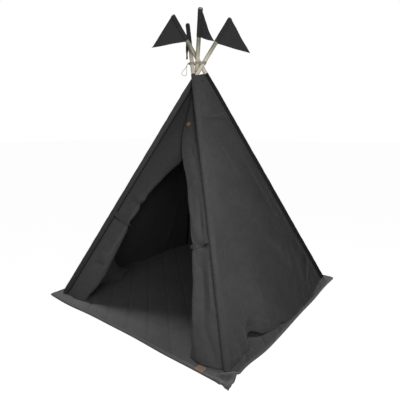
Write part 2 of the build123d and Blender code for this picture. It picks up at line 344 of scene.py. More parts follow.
# ---- materials ----
class Nodes:
    """Short names for building a material's node tree."""

    def __init__(self, name, roughness):
        self.material = bpy.data.materials.new(name)
        self.material.use_nodes = True
        self.tree = self.material.node_tree
        self.shader = self.tree.nodes["Principled BSDF"]
        self.shader.inputs["Roughness"].default_value = roughness

    def new(self, kind, inputs=None, **settings):
        node = self.tree.nodes.new("ShaderNode" + kind)
        for key, value in settings.items():
            setattr(node, key, value)
        for key, value in (inputs or {}).items():
            if isinstance(value, bpy.types.NodeSocket):
                self.tree.links.new(value, node.inputs[key])
            else:
                node.inputs[key].default_value = value
        return node

    def cloth(self):
        return self.new("UVMap", uv_map="cloth").outputs[0]

    def position(self):
        return self.new("TexCoord").outputs["Object"]

    def edges(self, low, high, amount):
        """How worn a spot is, from how sharply the surface turns there."""
        turned = self.new("NewGeometry").outputs["Pointiness"]
        return self.range(turned, low, high, 0.0, amount)

    def math(self, operation, a, b=0.0):
        return self.new("Math", {0: a, 1: b}, operation=operation).outputs[0]

    def times(self, a, b):
        return self.math("MULTIPLY", a, b)

    def dot(self, vector, direction):
        inputs = {0: vector, 1: tuple(direction)}
        return self.new("VectorMath", inputs, operation="DOT_PRODUCT").outputs["Value"]

    def noise(self, vector, scale, detail=3.0, roughness=0.55):
        inputs = {"Vector": vector, "Scale": scale, "Detail": detail, "Roughness": roughness}
        return self.new("TexNoise", inputs).outputs["Fac"]

    def scaled(self, vector, scale):
        return self.new("Mapping", {"Vector": vector, "Scale": scale}).outputs[0]

    def range(self, value, low, high, to_low, to_high):
        inputs = {0: value, 1: low, 2: high, 3: to_low, 4: to_high}
        return self.new("MapRange", inputs).outputs[0]

    def spread(self, noise, to_low, to_high):
        """Stretches a noise's usual values over a range."""
        return self.range(noise, 0.3, 0.7, to_low, to_high)

    def toned(self, color, tone):
        """A colour made darker or lighter by a tone around 1."""
        tint = self.new("CombineColor", {0: tone, 1: tone, 2: tone}).outputs[0]
        return self.mix(1.0, color, tint, "MULTIPLY")

    def mix(self, factor, a, b, blend="MIX"):
        node = self.new("Mix", {"Factor": factor}, data_type="RGBA", blend_type=blend)
        for socket, value in ((node.inputs[6], a), (node.inputs[7], b)):
            if isinstance(value, bpy.types.NodeSocket):
                self.tree.links.new(value, socket)
            else:
                socket.default_value = (*value, 1.0)
        return node.outputs[2]

    def bump(self, height, strength, distance, under=None):
        inputs = {"Height": height, "Strength": strength, "Distance": distance}
        if under is not None:
            inputs["Normal"] = under
        return self.new("Bump", inputs).outputs[0]

    def finish(self, **inputs):
        for key, value in inputs.items():
            socket = self.shader.inputs[key.replace("_", " ")]
            if isinstance(value, bpy.types.NodeSocket):
                self.tree.links.new(value, socket)
            else:
                socket.default_value = value
        return self.material


def shade(color, factor):
    return tuple(channel * factor for channel in color)


def canvas(name, color, thread=0.0011, blotch=0.16, painted_light=()):
    """Plain-woven canvas: crossing threads, uneven yarn, fading in patches and along edges.
    dusk lists gradients of painted light and shade over the cloth: (axis, from, to, tone there, tone there)."""
    n = Nodes(name, 0.92)
    uv = n.cloth()
    axes = n.new("SeparateXYZ", {0: uv})
    warp, weft = (n.math("SINE", n.times(axes.outputs[i], pi / thread)) for i in (0, 1))
    weave = n.math("ABSOLUTE", n.times(warp, weft))
    slub_warp = n.noise(n.scaled(uv, (1 / thread, 22.0, 1.0)), 1.0, 2.0)
    slub_weft = n.noise(n.scaled(uv, (22.0, 1 / thread, 1.0)), 1.0, 2.0)
    slub = n.math("ADD", slub_warp, slub_weft)
    patches = n.noise(uv, 3.2, 4.0)
    fine = n.noise(uv, 38.0, 3.0)
    tone = n.spread(patches, 1 - blotch, 1 + blotch)
    tone = n.times(tone, n.range(slub, 0.75, 1.25, 0.86, 1.14))
    tone = n.times(tone, n.spread(fine, 0.91, 1.09))
    tone = n.times(tone, n.range(weave, 0.0, 1.0, 0.8, 1.1))
    # painted light and shade: each gradient scales the tone along one cloth coordinate
    for axis, *ends in painted_light:
        tone = n.times(tone, n.range(axes.outputs[axis], *ends))
    cloth = n.mix(n.edges(0.52, 0.60, 0.35), n.toned(color, tone), shade(color, 1.7))
    crumple = n.noise(n.scaled(uv, (15.0, 24.0, 1.0)), 1.0, 5.0, 0.6)
    normal = n.bump(weave, 0.35, thread * 0.35)
    normal = n.bump(slub, 0.25, 0.0006, normal)
    normal = n.bump(fine, 0.2, 0.0015, normal)
    normal = n.bump(crumple, 0.7, 0.008, normal)
    return n.finish(
        Base_Color=cloth,
        Normal=normal,
        Roughness=n.spread(fine, 0.86, 0.97),
        Sheen_Weight=0.06,
        Sheen_Roughness=0.5,
        Specular_IOR_Level=0.25,
    )


def thread(name, color):
    n = Nodes(name, 0.7)
    tone = n.spread(n.noise(n.position(), 900.0, 2.0), 0.8, 1.2)
    return n.finish(Base_Color=n.toned(color, tone), Specular_IOR_Level=0.3)


def wood(name, corner, color, dark):
    """Sanded softwood with its grain along one pole."""
    n = Nodes(name, 0.55)
    origin, direction = POLES[corner]
    side = unit(np.cross(direction, UP))
    other = np.cross(direction, side)
    position = n.position()
    inputs = {0: position, 1: tuple(origin)}
    centred = n.new("VectorMath", inputs, operation="SUBTRACT").outputs[0]
    parts = [n.dot(centred, v) for v in (side, other, direction)]
    local = n.new("CombineXYZ", dict(enumerate(parts))).outputs[0]
    drift = n.noise(n.scaled(local, (30.0, 30.0, 2.5)), 1.0, 2.0)
    rings = n.math("SINE", n.math("ADD", n.times(parts[0], 260.0), n.times(drift, 9.0)))
    fibre = n.noise(n.scaled(local, (900.0, 900.0, 14.0)), 1.0, 3.0)
    knots = n.noise(n.scaled(local, (40.0, 40.0, 9.0)), 1.0, 1.0)
    base = n.mix(n.range(rings, -0.4, 1.0, 0.0, 0.55), color, dark)
    base = n.mix(n.range(fibre, 0.45, 0.75, 0.0, 0.35), base, shade(dark, 0.7))
    base = n.mix(n.range(knots, 0.72, 0.8, 0.0, 0.8), base, shade(dark, 0.5))
    height = n.new("SeparateXYZ", {0: position}).outputs["Z"]
    # wood paler and creamier below 1.335 m up, easing to the plain grain by 1.405 m
    paler_lower_wood = n.range(height, 1.335, 1.405, 0.75, 0.0)
    base = n.mix(paler_lower_wood, base, (0.55, 0.505, 0.395))
    normal = n.bump(fibre, 0.25, 0.0004)
    normal = n.bump(rings, 0.1, 0.0004, normal)
    return n.finish(Base_Color=base, Normal=normal, Roughness=n.spread(fibre, 0.48, 0.68))


def turned_wood(name, color, dark):
    """Dark oiled hardwood of a small turned button."""
    n = Nodes(name, 0.42)
    position = n.position()
    figure = n.noise(n.scaled(position, (90.0, 90.0, 900.0)), 1.0, 4.0)
    pores = n.noise(n.scaled(position, (700.0, 700.0, 4200.0)), 1.0, 2.0)
    base = n.mix(n.range(figure, 0.35, 0.68, 0.0, 1.0), color, dark)
    base = n.mix(n.range(pores, 0.6, 0.75, 0.0, 0.6), base, shade(dark, 0.5))
    return n.finish(Base_Color=base, Normal=n.bump(pores, 0.3, 0.0003), Coat_Weight=0.15)


def drawn_metal(name, color, corner):
    """Satin tube, drawn along its length."""
    n = Nodes(name, 0.3)
    position = n.position()
    along = n.dot(position, POLES[corner][1])
    scratch = n.noise(n.new("CombineXYZ", {0: along}).outputs[0], 60.0, 4.0)
    speckle = n.noise(position, 1400.0, 2.0)
    return n.finish(
        Base_Color=n.toned(color, n.spread(scratch, 0.85, 1.1)),
        Metallic=1.0,
        Roughness=n.spread(speckle, 0.24, 0.42),
        Normal=n.bump(speckle, 0.08, 0.0002),
    )


def lacquer(name, color):
    """Black lacquered metal, rubbed on its rim."""
    n = Nodes(name, 0.35)
    position = n.position()
    speckle = n.noise(position, 2600.0, 2.0)
    rubbed = n.range(n.noise(position, 900.0, 2.0), 0.62, 0.75, 0.0, 0.25)
    return n.finish(
        Base_Color=n.mix(rubbed, color, (0.06, 0.055, 0.05)),
        Roughness=n.spread(speckle, 0.45, 0.65),
        Normal=n.bump(speckle, 0.1, 0.0002),
    )


def leather(name, color):
    """Tan leather with a fine pebble and darker rubbed edges."""
    n = Nodes(name, 0.5)
    uv = n.cloth()
    pebble = n.new("TexVoronoi", {"Vector": uv, "Scale": 900.0}).outputs["Distance"]
    stain = n.noise(uv, 60.0, 4.0)
    base = n.mix(n.spread(stain, 0.0, 0.7), color, shade(color, 0.62))
    base = n.mix(n.edges(0.52, 0.6, 0.7), base, shade(color, 0.4))
    return n.finish(
        Base_Color=base,
        Normal=n.bump(pebble, 0.4, 0.0004),
        Roughness=n.spread(stain, 0.42, 0.6),
    )


def cord_material(name, color):
    n = Nodes(name, 0.85)
    position = n.position()
    fibre = n.noise(position, 1100.0, 3.0)
    stain = n.noise(position, 60.0, 2.0)
    return n.finish(
        Base_Color=n.toned(color, n.times(n.spread(fibre, 0.65, 1.3), n.spread(stain, 0.85, 1.1))),
        Normal=n.bump(fibre, 0.5, 0.0006),
        Sheen_Weight=0.2,
    )


COVER_GREY = (0.040, 0.0402, 0.0408)
MAT_GREY = (0.066, 0.0662, 0.0668)
COVER = canvas("canvas_cover", COVER_GREY)
# painted light and shade on the left flap: lighter low down and darker towards its top, where the front-right
# sleeve casts shade; darker on the turned-back inner layer; a dark painted shadow line beside the sleeve
LEFT_FLAP_PAINTED_LIGHT = ((1, 0.2, 1.05, 1.60, 0.36), (0, 0.15, 0.25, 1.0, 0.35), (0, 0.011, 0.015, 0.12, 1.0))
# painted light and shade on the right flap: a little lighter low down, and darker towards its top as painted
# shade
RIGHT_FLAP_PAINTED_LIGHT = ((1, 0.2, 0.8, 1.12, 0.96), (1, 0.78, 1.04, 1.0, 0.42))
# painted light and shade on the right side: darker towards the back-right sleeve, away from the lamps, and
# lighter towards the top
RIGHT_PANEL_PAINTED_LIGHT = ((0, -0.25, 0.38, 1.02, 0.44), (1, 0.35, 1.15, 0.96, 1.2))
FLAP_CLOTH = {
    -1: canvas("canvas_flap_left", COVER_GREY, painted_light=LEFT_FLAP_PAINTED_LIGHT),
    1: canvas("canvas_flap_right", COVER_GREY, painted_light=RIGHT_FLAP_PAINTED_LIGHT),
}
PANEL_CLOTH = {
    "right": canvas("canvas_right", COVER_GREY, blotch=0.2, painted_light=RIGHT_PANEL_PAINTED_LIGHT),
    # the left side, seen inside through the doorway, is lighter towards the doorway and darker towards the
    # back: painted light
    "left": canvas("canvas_left", COVER_GREY, painted_light=((0, -0.45, 0.40, 0.75, 1.75),)),
    "back": COVER,
}
# the sleeves are copies of the cover cloth darkened as painted shade: the back-right one most, as it turns
# from the lamps, the back-left one less, the front-left one slightly
SLEEVE_CLOTH = {
    "front_left": canvas("canvas_sleeve_front_left", shade(COVER_GREY, 0.92)),
    "front_right": COVER,
    "back_right": canvas("canvas_sleeve_back_right", shade(COVER_GREY, 0.18)),
    "back_left": canvas("canvas_sleeve", shade(COVER_GREY, 0.62)),
}
# the mat darker towards its right side, where the tent shades it: painted shade
MAT_CLOTH = canvas("canvas_mat", MAT_GREY, blotch=0.1, painted_light=((0, -0.4, 0.2, 1.0, 0.6),))
TAPE = canvas("binding_tape", shade(MAT_GREY, 0.88), thread=0.0008, blotch=0.08)
PENNANT = canvas("canvas_flag", shade(COVER_GREY, 0.66), blotch=0.1)
THREAD = thread("sewing_thread", shade(COVER_GREY, 1.3))
MAT_THREAD = thread("quilting_thread", shade(MAT_GREY, 0.4))
CORD = cord_material("natural_cord", (0.30, 0.26, 0.215))
LOOP_CORD = cord_material("loop_cord", (0.13, 0.125, 0.115))
PINE, PINE_GRAIN = (0.27, 0.255, 0.195), (0.185, 0.17, 0.12)
TAN = leather("tan_leather", (0.088, 0.056, 0.038))
TAN_THREAD = thread("tan_thread", (0.55, 0.35, 0.18))


def finish_node(node, material):
    mesh = frame["nodes"][node].data
    mesh.materials.clear()
    mesh.materials.append(material)


# ---- resting on the mat ----
def settle(points, reach=0.05):
    """Lets a hem down onto the mat, easing out above it."""
    rest = mat_surface(points[0, :, 0], points[0, :, 1]) + 0.0003
    share = 1 - ease((points[..., 2] - HEM_Z) / reach)
    points[..., 2] += (rest - points[0, :, 2]) * share


# ---- sleeves ----
NEIGHBOURS = {
    "front_left": ("back_left", "front_right"),
    "front_right": ("front_left", "back_right"),
    "back_right": ("front_right", "back_left"),
    "back_left": ("back_right", "front_left"),
}
SLEEVE_TOP = {"front_left": 1.238, "front_right": 1.248, "back_right": 1.262, "back_left": 1.250}
SLEEVE_LIP = 0.0125
SLEEVE_COLUMNS = 40
SEAM_TURN = 0.46  # from a sewn panel's line to the stitches beside it, round the sleeve, in radians


def pole_frame(corner):
    """The pole's direction, a level side direction and the third, which points down and in."""
    direction = POLES[corner][1]
    side = unit(np.cross(direction, UP))
    return direction, side, np.cross(direction, side)


def seam_angle(corner, other, height=0.5):
    """Where round a sleeve the panel towards another corner is sewn on."""
    _, side, third = pole_frame(corner)
    away = on_pole(other, height) - on_pole(corner, height)
    return np.arctan2(away @ third, away @ side)


def pucker(run, seed):
    """Small gathers along a sewn line."""
    return np.sin(tau * run / 0.020 + 2.2 * np.sin(run * 23 + seed) + seed) * (
        0.6 + 0.4 * np.sin(run * 9 + 2 * seed)
    )


def make_sleeve(corner, seed):
    direction, side, third = pole_frame(corner)
    foot = on_pole(corner, HEM_Z + 0.007)
    length = np.linalg.norm(on_pole(corner, SLEEVE_TOP[corner]) - foot)
    wall = [(t, 0) for t in np.linspace(0.012, length - 0.002, 330)]
    lip = [(length, 0), (length - 0.0006, -CLOTH), (length - 0.05, -CLOTH), (length - 0.09, -CLOTH)]
    rows = np.array([(-0.010, -0.0045), (-0.008, -0.001), (0.002, 0), *wall, *lip])
    angle = np.linspace(0, tau, SLEEVE_COLUMNS, endpoint=False)
    t, theta = np.meshgrid(rows[:, 0], angle, indexing="ij")
    radius = SLEEVE_RADIUS + CLOTH / 2 + rows[:, 1][:, None]
    radius = radius + 0.0005 * ripple(theta * 0.014, t, 0.045, seed)
    radius = radius + 0.0004 * ripple(theta * 0.014 + t * 0.4, t, 0.11, seed + 1)
    for other in NEIGHBOURS[corner]:
        turn = (theta - seam_angle(corner, other) + pi) % tau - pi
        radius = radius + 0.0004 * bell(turn, 0, 0.20)
        radius = radius + 0.0015 * pucker(t, seed) * bell(abs(turn), SEAM_TURN, 0.22)
    taper = ease((t - (length - 0.12)) / 0.12)
    radius = radius * (1 - taper) + np.minimum(radius, SLEEVE_LIP + rows[:, 1][:, None]) * taper
    radius[-1] = SLEEVE_LIP - CLOTH
    ring = np.cos(theta)[..., None] * side + np.sin(theta)[..., None] * third
    points = foot + t[..., None] * direction + radius[..., None] * ring
    floor = mat_surface(points[..., 0], points[..., 1]) + 0.0008
    points[..., 2] = np.maximum(points[..., 2], np.minimum(floor, HEM_Z + 0.004))
    piece = Piece()
    add_wrapped(piece, points, np.stack([theta * 0.014, t], -1))
    for other in NEIGHBOURS[corner]:
        for offset in (-SEAM_TURN, SEAM_TURN):
            spot = seam_angle(corner, other) + offset
            column = int(round((spot % tau) / tau * SLEEVE_COLUMNS)) % SLEEVE_COLUMNS
            line = points[4:-6, column]
            add_stitches(piece, line, np.broadcast_to(ring[4, column], line.shape))
    materials = [SLEEVE_CLOTH[corner], THREAD]
    piece.place(f"sleeve_cloth_{corner}", materials, f"sleeve_{corner}", "cover_canvas", f"pole_{corner}")


# ---- panels ----
EYELET_Z = box_centre("eyelet_right")[2]
HOLE_HALF = 0.0034  # half the square opening, which the eyelet's rim covers
SEAM_BAND = 0.0085
HEM_BAND = 0.022
YOKE = 1.02  # height of the doubled top piece's lower edge
STEP = 0.0009  # how far a folded hem stands up


def panel_columns(width):
    """Distances from the first sleeve: dense at both seams, even between them."""
    fixed = np.array([0, 0.003, 0.006, SEAM_BAND, SEAM_BAND + 0.0008, SEAM_BAND + 0.004])
    middle = np.linspace(0, 1, 112)[1:-1]
    inside = fixed[-1] + (width[:, None] - 2 * fixed[-1]) * middle
    left = np.broadcast_to(fixed, (len(width), len(fixed)))
    return np.concatenate([left, inside, width[:, None] - left[:, ::-1]], axis=1)


def panel_heights():
    marks = [HEM_Z + HEM_BAND, HEM_Z + HEM_BAND + 0.0007, YOKE, YOKE + 0.0007]
    marks += [PANEL_TOP - HEM_BAND, PANEL_TOP - HEM_BAND + 0.0007]
    marks += [EYELET_Z - HOLE_HALF, EYELET_Z + HOLE_HALF]
    return np.sort(np.concatenate([np.linspace(HEM_Z, PANEL_TOP, 190), marks]))


def make_panel(side, corner_a, corner_b, shape, bodies, flip_weights=False):
    """One side of the cover, from one sleeve to the next. shape gives, for distances from the
    middle and heights, how far the cloth bows out and is creased, and its hem's lift."""
    name = f"panel_cloth_{side}"
    z = panel_heights()
    top = ease((z - 1.10) / (PANEL_TOP - 1.10))
    a, b = (
        on_pole(corner, z + (SLEEVE_TOP[corner] - 0.003 - PANEL_TOP) * top)
        for corner in (corner_a, corner_b)
    )
    along = unit((b - a) * (1, 1, 0))
    slant = (b - a)[:, 2]
    a = a + along * seam_distance(corner_a, along)[:, None]
    b = b - along * seam_distance(corner_b, along)[:, None]
    width = np.linalg.norm((b - a)[:, :2], axis=1)
    columns = panel_columns(width)
    share = columns / width[:, None]
    flat = a[:, None] + along[:, None] * columns[..., None]
    flat[..., 2] += slant[:, None] * share
    level_out = np.cross(along, UP)
    climb = flat[-1].mean(0) - flat[0].mean(0)
    rise = climb / np.linalg.norm(climb)
    outward = unit(np.cross(along, rise))[:, None]
    x = columns - width[:, None] / 2
    height = np.broadcast_to(z[:, None], x.shape)
    near_seam = np.minimum(columns, width[:, None] - columns)
    free = ease(near_seam / 0.07)
    bow, fold, lift = shape(x, height)
    gathers = 0.0020 * pucker(height, len(name)) * bell(near_seam, 0.013, 0.009)
    groove = -0.0024 * bell(near_seam, 0.0022, 0.0024)
    fold = fold * free + gathers + groove
    points = flat + level_out[:, None] * (bow * free)[..., None] + outward * fold[..., None]
    settle(points)
    points[..., 2] += lift * free
    outer = CLOTH / 2 + STEP * (near_seam <= SEAM_BAND + 1e-6)
    hemmed = (height <= HEM_Z + HEM_BAND + 1e-6) | (height >= PANEL_TOP - HEM_BAND + 0.0006)
    outer = np.minimum(outer + STEP * hemmed, CLOTH / 2 + 1.3 * STEP)
    outer = outer + 3.0 * STEP * (height >= YOKE + 0.0006) * (side == "right")
    uvs = np.stack([x, height], -1)
    weights = 1 - share if flip_weights else share
    piece = Piece()
    hole = eyelet_hole(points, f"eyelet_{side}")
    add_sheet(piece, points, uvs, weights, outer=outer, hole=hole)
    normals = grid_normals(points)
    skin = points + normals * outer[..., None]
    rows = [HEM_Z + 0.006, HEM_Z + 0.018, PANEL_TOP - 0.018, PANEL_TOP - 0.006]
    for row_height in rows + [YOKE + 0.008] * (side == "right"):
        row = int(np.argmin(abs(z - row_height)))
        add_stitches(piece, skin[row, 3:-3], normals[row, 3:-3], weights[row, 3:-3])
    for column in (1, 2, -2, -3):
        add_stitches(piece, skin[1:-1, column], normals[1:-1, column], weights[1:-1, column])
    piece.place(name, [PANEL_CLOTH[side], THREAD], f"panel_{side}", "cover_canvas", bodies)


def eyelet_hole(points, eyelet):
    """The block of cells that an eyelet's opening takes out of a panel, as add_sheet wants it."""
    away = np.linalg.norm(points - box_centre(eyelet), axis=2)
    row = int(away.min(1).argmin())
    column = int(away[row].argmin())
    beside = away[row] < HOLE_HALF + 0.0002
    columns = np.flatnonzero(beside) if beside.any() else np.array([column, column + 1])
    level = abs(points[:, column, 2] - points[row, column, 2]) < HOLE_HALF + 0.0002
    rows = np.flatnonzero(level)
    return rows[0], rows[-1] + (rows[-1] == rows[0]), columns[0], columns[-1]


def slack(z, hem, reach):
    """1 at the hem, easing to 0 at a height above it."""
    return hem * (1 - ease((z - HEM_Z) / reach))


HALF_HEM = 0.55  # from the middle of a side's hem to its ends
# the right side's hem: (distance from the middle, how far it stands out), and off the mat
RIGHT_HEM = [(-0.55, 0), (-0.43, -0.006), (-0.26, 0.004), (-0.03, 0.044), (0.15, 0.051), (0.34, 0.032),
             (0.5, 0.006), (0.55, 0)]
RIGHT_LIFT = [(-0.37, 0), (-0.342, 0.003), (-0.318, 0.032), (-0.27, 0.021), (-0.21, 0.007), (-0.165, 0.004),
              (-0.13, 0.013), (-0.095, 0.005), (0.05, 0.0065), (0.2, 0.004), (0.36, 0.0065), (0.5, 0.004),
              (0.55, 0)]
# creases: start and end as (distance from the middle, height), width, height
RIGHT_CREASES = (
    ((-0.33, 0.03), (-0.31, 0.22), 0.022, -0.0112), ((-0.39, 0.01), (-0.40, 0.12), 0.010, 0.0140),
    ((-0.43, 0.01), (-0.44, 0.16), 0.012, -0.0084), ((-0.47, 0.01), (-0.49, 0.14), 0.010, 0.0070),
    ((-0.24, 0.02), (-0.20, 0.30), 0.030, 0.0126), ((-0.43, 0.37), (-0.26, 0.46), 0.012, 0.0098),
    ((-0.26, 0.46), (-0.08, 0.42), 0.015, 0.0098), ((-0.42, 0.31), (-0.33, 0.42), 0.011, 0.0070),
    ((-0.06, 0.40), (0.14, 0.22), 0.048, 0.0110), ((0.02, 0.44), (0.24, 0.28), 0.045, -0.0090),
    ((-0.16, 0.62), (-0.02, 0.54), 0.015, 0.0070), ((0.00, 0.56), (0.16, 0.60), 0.014, -0.0056),
    ((0.05, 0.50), (0.24, 0.47), 0.017, 0.0070), ((0.28, 0.10), (0.46, 0.20), 0.021, 0.0084),
    ((-0.10, 0.98), (0.01, 0.66), 0.025, 0.0070), ((0.08, 0.86), (0.20, 0.52), 0.022, 0.0070),
    ((-0.02, 1.20), (-0.06, 1.04), 0.010, 0.0056), ((0.03, 1.21), (0.08, 1.05), 0.012, -0.0042),
    ((-0.03, 1.030), (0.05, 1.036), 0.006, 0.0112), ((0.03, 1.040), (0.09, 1.036), 0.007, 0.0112),
)
LEFT_CREASES = (
    ((0.25, 0.04), (0.32, 0.36), 0.030, 0.010), ((-0.30, 0.05), (-0.26, 0.40), 0.035, -0.009),
    ((0.05, 0.45), (0.26, 0.40), 0.022, 0.006), ((-0.20, 0.62), (0.02, 0.50), 0.024, 0.005),
    ((0.00, 1.10), (-0.05, 0.70), 0.025, 0.004),
)
BACK_CREASES = (
    ((-0.18, 0.03), (-0.24, 0.38), 0.032, 0.011), ((0.30, 0.05), (0.24, 0.42), 0.035, -0.008),
    ((-0.05, 0.50), (0.22, 0.44), 0.024, 0.006), ((0.06, 1.08), (0.12, 0.66), 0.026, 0.004),
    ((-0.12, 0.86), (-0.18, 0.56), 0.026, -0.004),
)


def right_shape(x, z):
    """The right side: its hem stands out behind the middle and turns in sharply towards the
    front, where one fold arches off the mat."""
    broad = 0.045 * bell(x, 0.09, 0.25)
    tuck = -0.044 * bell(x, -0.322, 0.040)
    bow = slack(z, spline(x, RIGHT_HEM) - broad, 0.26) + slack(z, broad, 0.95) + slack(z, tuck, 0.11)
    lift = slack(z, spline(x, RIGHT_LIFT), 0.11)
    fold = 0.0035 * ripple(x, z, 0.30, 11) * (1 - ease((z - 0.75) / 0.5))
    fold = fold + 0.0017 * ripple(x * 0.8, z * 1.3, 0.10, 12) + 0.0008 * ripple(x * 0.7, z * 1.4, 0.04, 13)
    fold = creased(fold, x, z, RIGHT_CREASES)
    return bow, fold - 0.0055 * bell(z, YOKE - 0.007, 0.006), lift


def slack_side(crest, wave, waves, phase, drape, coarse, fine, creases):
    """A side whose hem stands out in gentle waves: their heights, number and phase, how far the
    cloth above hangs out, and the size and seed of its coarse and fine relief."""

    def shape(x, z):
        hem = crest * np.cos(x / HALF_HEM * pi / 2) + wave * np.sin(x * waves + phase)
        bow = slack(z, hem, 0.3) + slack(z, drape * np.cos(x / 0.6 * pi / 2), 0.95)
        fold = 0.0040 * ripple(x, z, *coarse) + 0.0013 * ripple(x, z, *fine)
        return bow, creased(fold, x, z, creases), 0.0

    return shape


left_shape = slack_side(0.024, 0.010, 15, 0.8, 0.010, (0.28, 21), (0.10, 22), LEFT_CREASES)
back_shape = slack_side(0.022, 0.009, 13, -0.6, 0.012, (0.30, 31), (0.11, 32), BACK_CREASES)


# ---- doorway ----
FLAP_TOP = 1.238
SIDE_NAMES = {-1: "left", 1: "right"}
# where each flap's rolled edge lies: (height, X)
FREE_EDGE = {
    -1: [(0.013, -0.388), (0.09, -0.338), (0.32, -0.257), (0.46, -0.205), (0.60, -0.142),
         (0.72, -0.046), (0.83, 0.050), (0.90, 0.052), (1.00, 0.038), (1.17, 0.022), (1.24, 0.008)],
    1: [(0.013, 0.388), (0.09, 0.366), (0.29, 0.304), (0.43, 0.243), (0.69, 0.121), (0.83, 0.050),
        (0.95, 0.020), (1.00, 0.024), (1.17, 0.010), (1.24, 0.000)],
}
ROLL = [(0.013, 0.014), (0.12, 0.020), (0.40, 0.018), (0.46, 0.010), (0.56, 0.018), (0.72, 0.020),
        (0.83, 0.006), (0.90, 0.0016), (1.24, 0.0012)]
# the turned-back layer, from the rolled edge: (height, sideways, inwards) of its bend and its end
TURN_BEND = {
    -1: [(0.013, 0.175, 0.19), (0.12, 0.14, 0.11), (0.30, 0.10, 0.045), (0.46, 0.07, 0.022),
         (0.62, 0.07, 0.045), (0.80, 0.02, 0.012), (1.24, 0.008, 0.004)],
    1: [(0.013, 0.09, 0.10), (0.12, 0.09, 0.09), (0.30, 0.08, 0.05), (0.43, 0.06, 0.022),
        (0.62, 0.06, 0.040), (0.80, 0.02, 0.012), (1.24, 0.008, 0.004)],
}
TURN_END = {
    -1: [(0.013, 0.065, 0.305), (0.085, 0.06, 0.275), (0.12, 0.06, 0.19), (0.18, 0.06, 0.11),
         (0.30, 0.07, 0.06), (0.46, 0.11, 0.024),
         (0.62, 0.09, 0.055), (0.80, 0.03, 0.014), (1.24, 0.010, 0.005)],
    1: [(0.013, 0.08, 0.17), (0.12, 0.08, 0.13), (0.30, 0.08, 0.08), (0.43, 0.10, 0.024),
        (0.62, 0.08, 0.050), (0.80, 0.03, 0.014), (1.24, 0.010, 0.005)],
}
TIE_AT_SLEEVE = {-1: 0.490, 1: 0.468}
TIE_AT_FOLD = {-1: 0.448, 1: 0.414}
TIE_HALF_WIDTH = 0.0105


def doorway_y(z):
    """The doorway's slope, halfway between the two front poles."""
    return (on_pole("front_left", z)[..., 1] + on_pole("front_right", z)[..., 1]) / 2


def flap_sections(side, z, columns=110, front_share=0.46, roll_share=0.16):
    """The gathered flap as level sections: out from the sleeve, round the rolled edge, and back
    inside. Returns points, distances along the cloth and each column's share of the front."""
    corner = f"front_{SIDE_NAMES[side]}"
    pole = on_pole(corner, z)
    level = np.broadcast_to([1.0, 0.0, 0.0], pole.shape)
    recess = 0.0055 + 0.004 * ease((z - 0.8) / 0.4)
    reach = seam_distance(corner, level)
    start_x = pole[:, 0] - side * (np.sqrt(reach**2 - recess**2) + 0.0012)
    start_y = pole[:, 1] + recess
    roll = spline(z, ROLL)
    belly = 0.026 * (side > 0) * (1 - ease((z - HEM_Z) / 0.26)) + 0.002
    behind = 0.0045 * ease((z - 0.78) / 0.08) * (side < 0)
    slump = ease((z - 0.66) / 0.22) * (1 - ease((z - 1.13) / 0.09))
    centre_x = spline(z, FREE_EDGE[side]) + side * roll
    front_y = doorway_y(z) - belly * 0.8 + behind + recess * 0.6
    bend, end = (
        [spline(z, [(k[0], k[i]) for k in knots[side]]) for i in (1, 2)]
        for knots in (TURN_BEND, TURN_END)
    )
    front_count, roll_count = int(columns * front_share), int(columns * roll_share)
    t = np.linspace(0, 1, front_count)[None]
    front_x = start_x[:, None] + (centre_x - start_x)[:, None] * t
    front = start_y[:, None] + (front_y - start_y)[:, None] * t
    front = front - (belly * 0.7)[:, None] * np.sin(pi * t)
    if side < 0:
        front_y = front_y + 0.026 * slump
        front = front + 0.026 * slump[:, None] * t
    else:
        front = front + 0.016 * slump[:, None] * bell(t, 0.34, 0.24) * ease(t / 0.12)
    turn = pi * np.linspace(0, 1, roll_count + 1)[None, 1:]
    roll_x = centre_x[:, None] - side * roll[:, None] * np.sin(turn)
    roll_y = front_y[:, None] + roll[:, None] * (1 - np.cos(turn))
    u = np.linspace(0, 1, columns - front_count - roll_count + 1)[None, 1:]
    first = (centre_x[:, None], (front_y + 2 * roll)[:, None])
    rear = []
    for i, sign in ((0, side), (1, 1)):
        middle = first[i] + sign * bend[i][:, None]
        last = first[i] + sign * end[i][:, None]
        rear.append((1 - u) ** 2 * first[i] + 2 * u * (1 - u) * middle + u**2 * last)
    x = np.concatenate([front_x, roll_x, rear[0]], axis=1)
    y = np.concatenate([front, roll_y, rear[1]], axis=1)
    points = np.stack([x, y, np.broadcast_to(z[:, None], x.shape)], -1)
    steps = np.linalg.norm(np.diff(points, axis=1), axis=2)
    run = np.concatenate([np.zeros((len(z), 1)), np.cumsum(steps, axis=1)], axis=1)
    # how far each column is from the sleeve to the middle of the roll
    share = np.clip(np.arange(columns) / (front_count + roll_count / 2), 0, 1)[None]
    return points, run, share


def tie_line(side, share):
    """Height of the tie's middle over the front layer, by share from sleeve to fold."""
    return TIE_AT_SLEEVE[side] + (TIE_AT_FOLD[side] - TIE_AT_SLEEVE[side]) * np.clip(share, 0, 1)


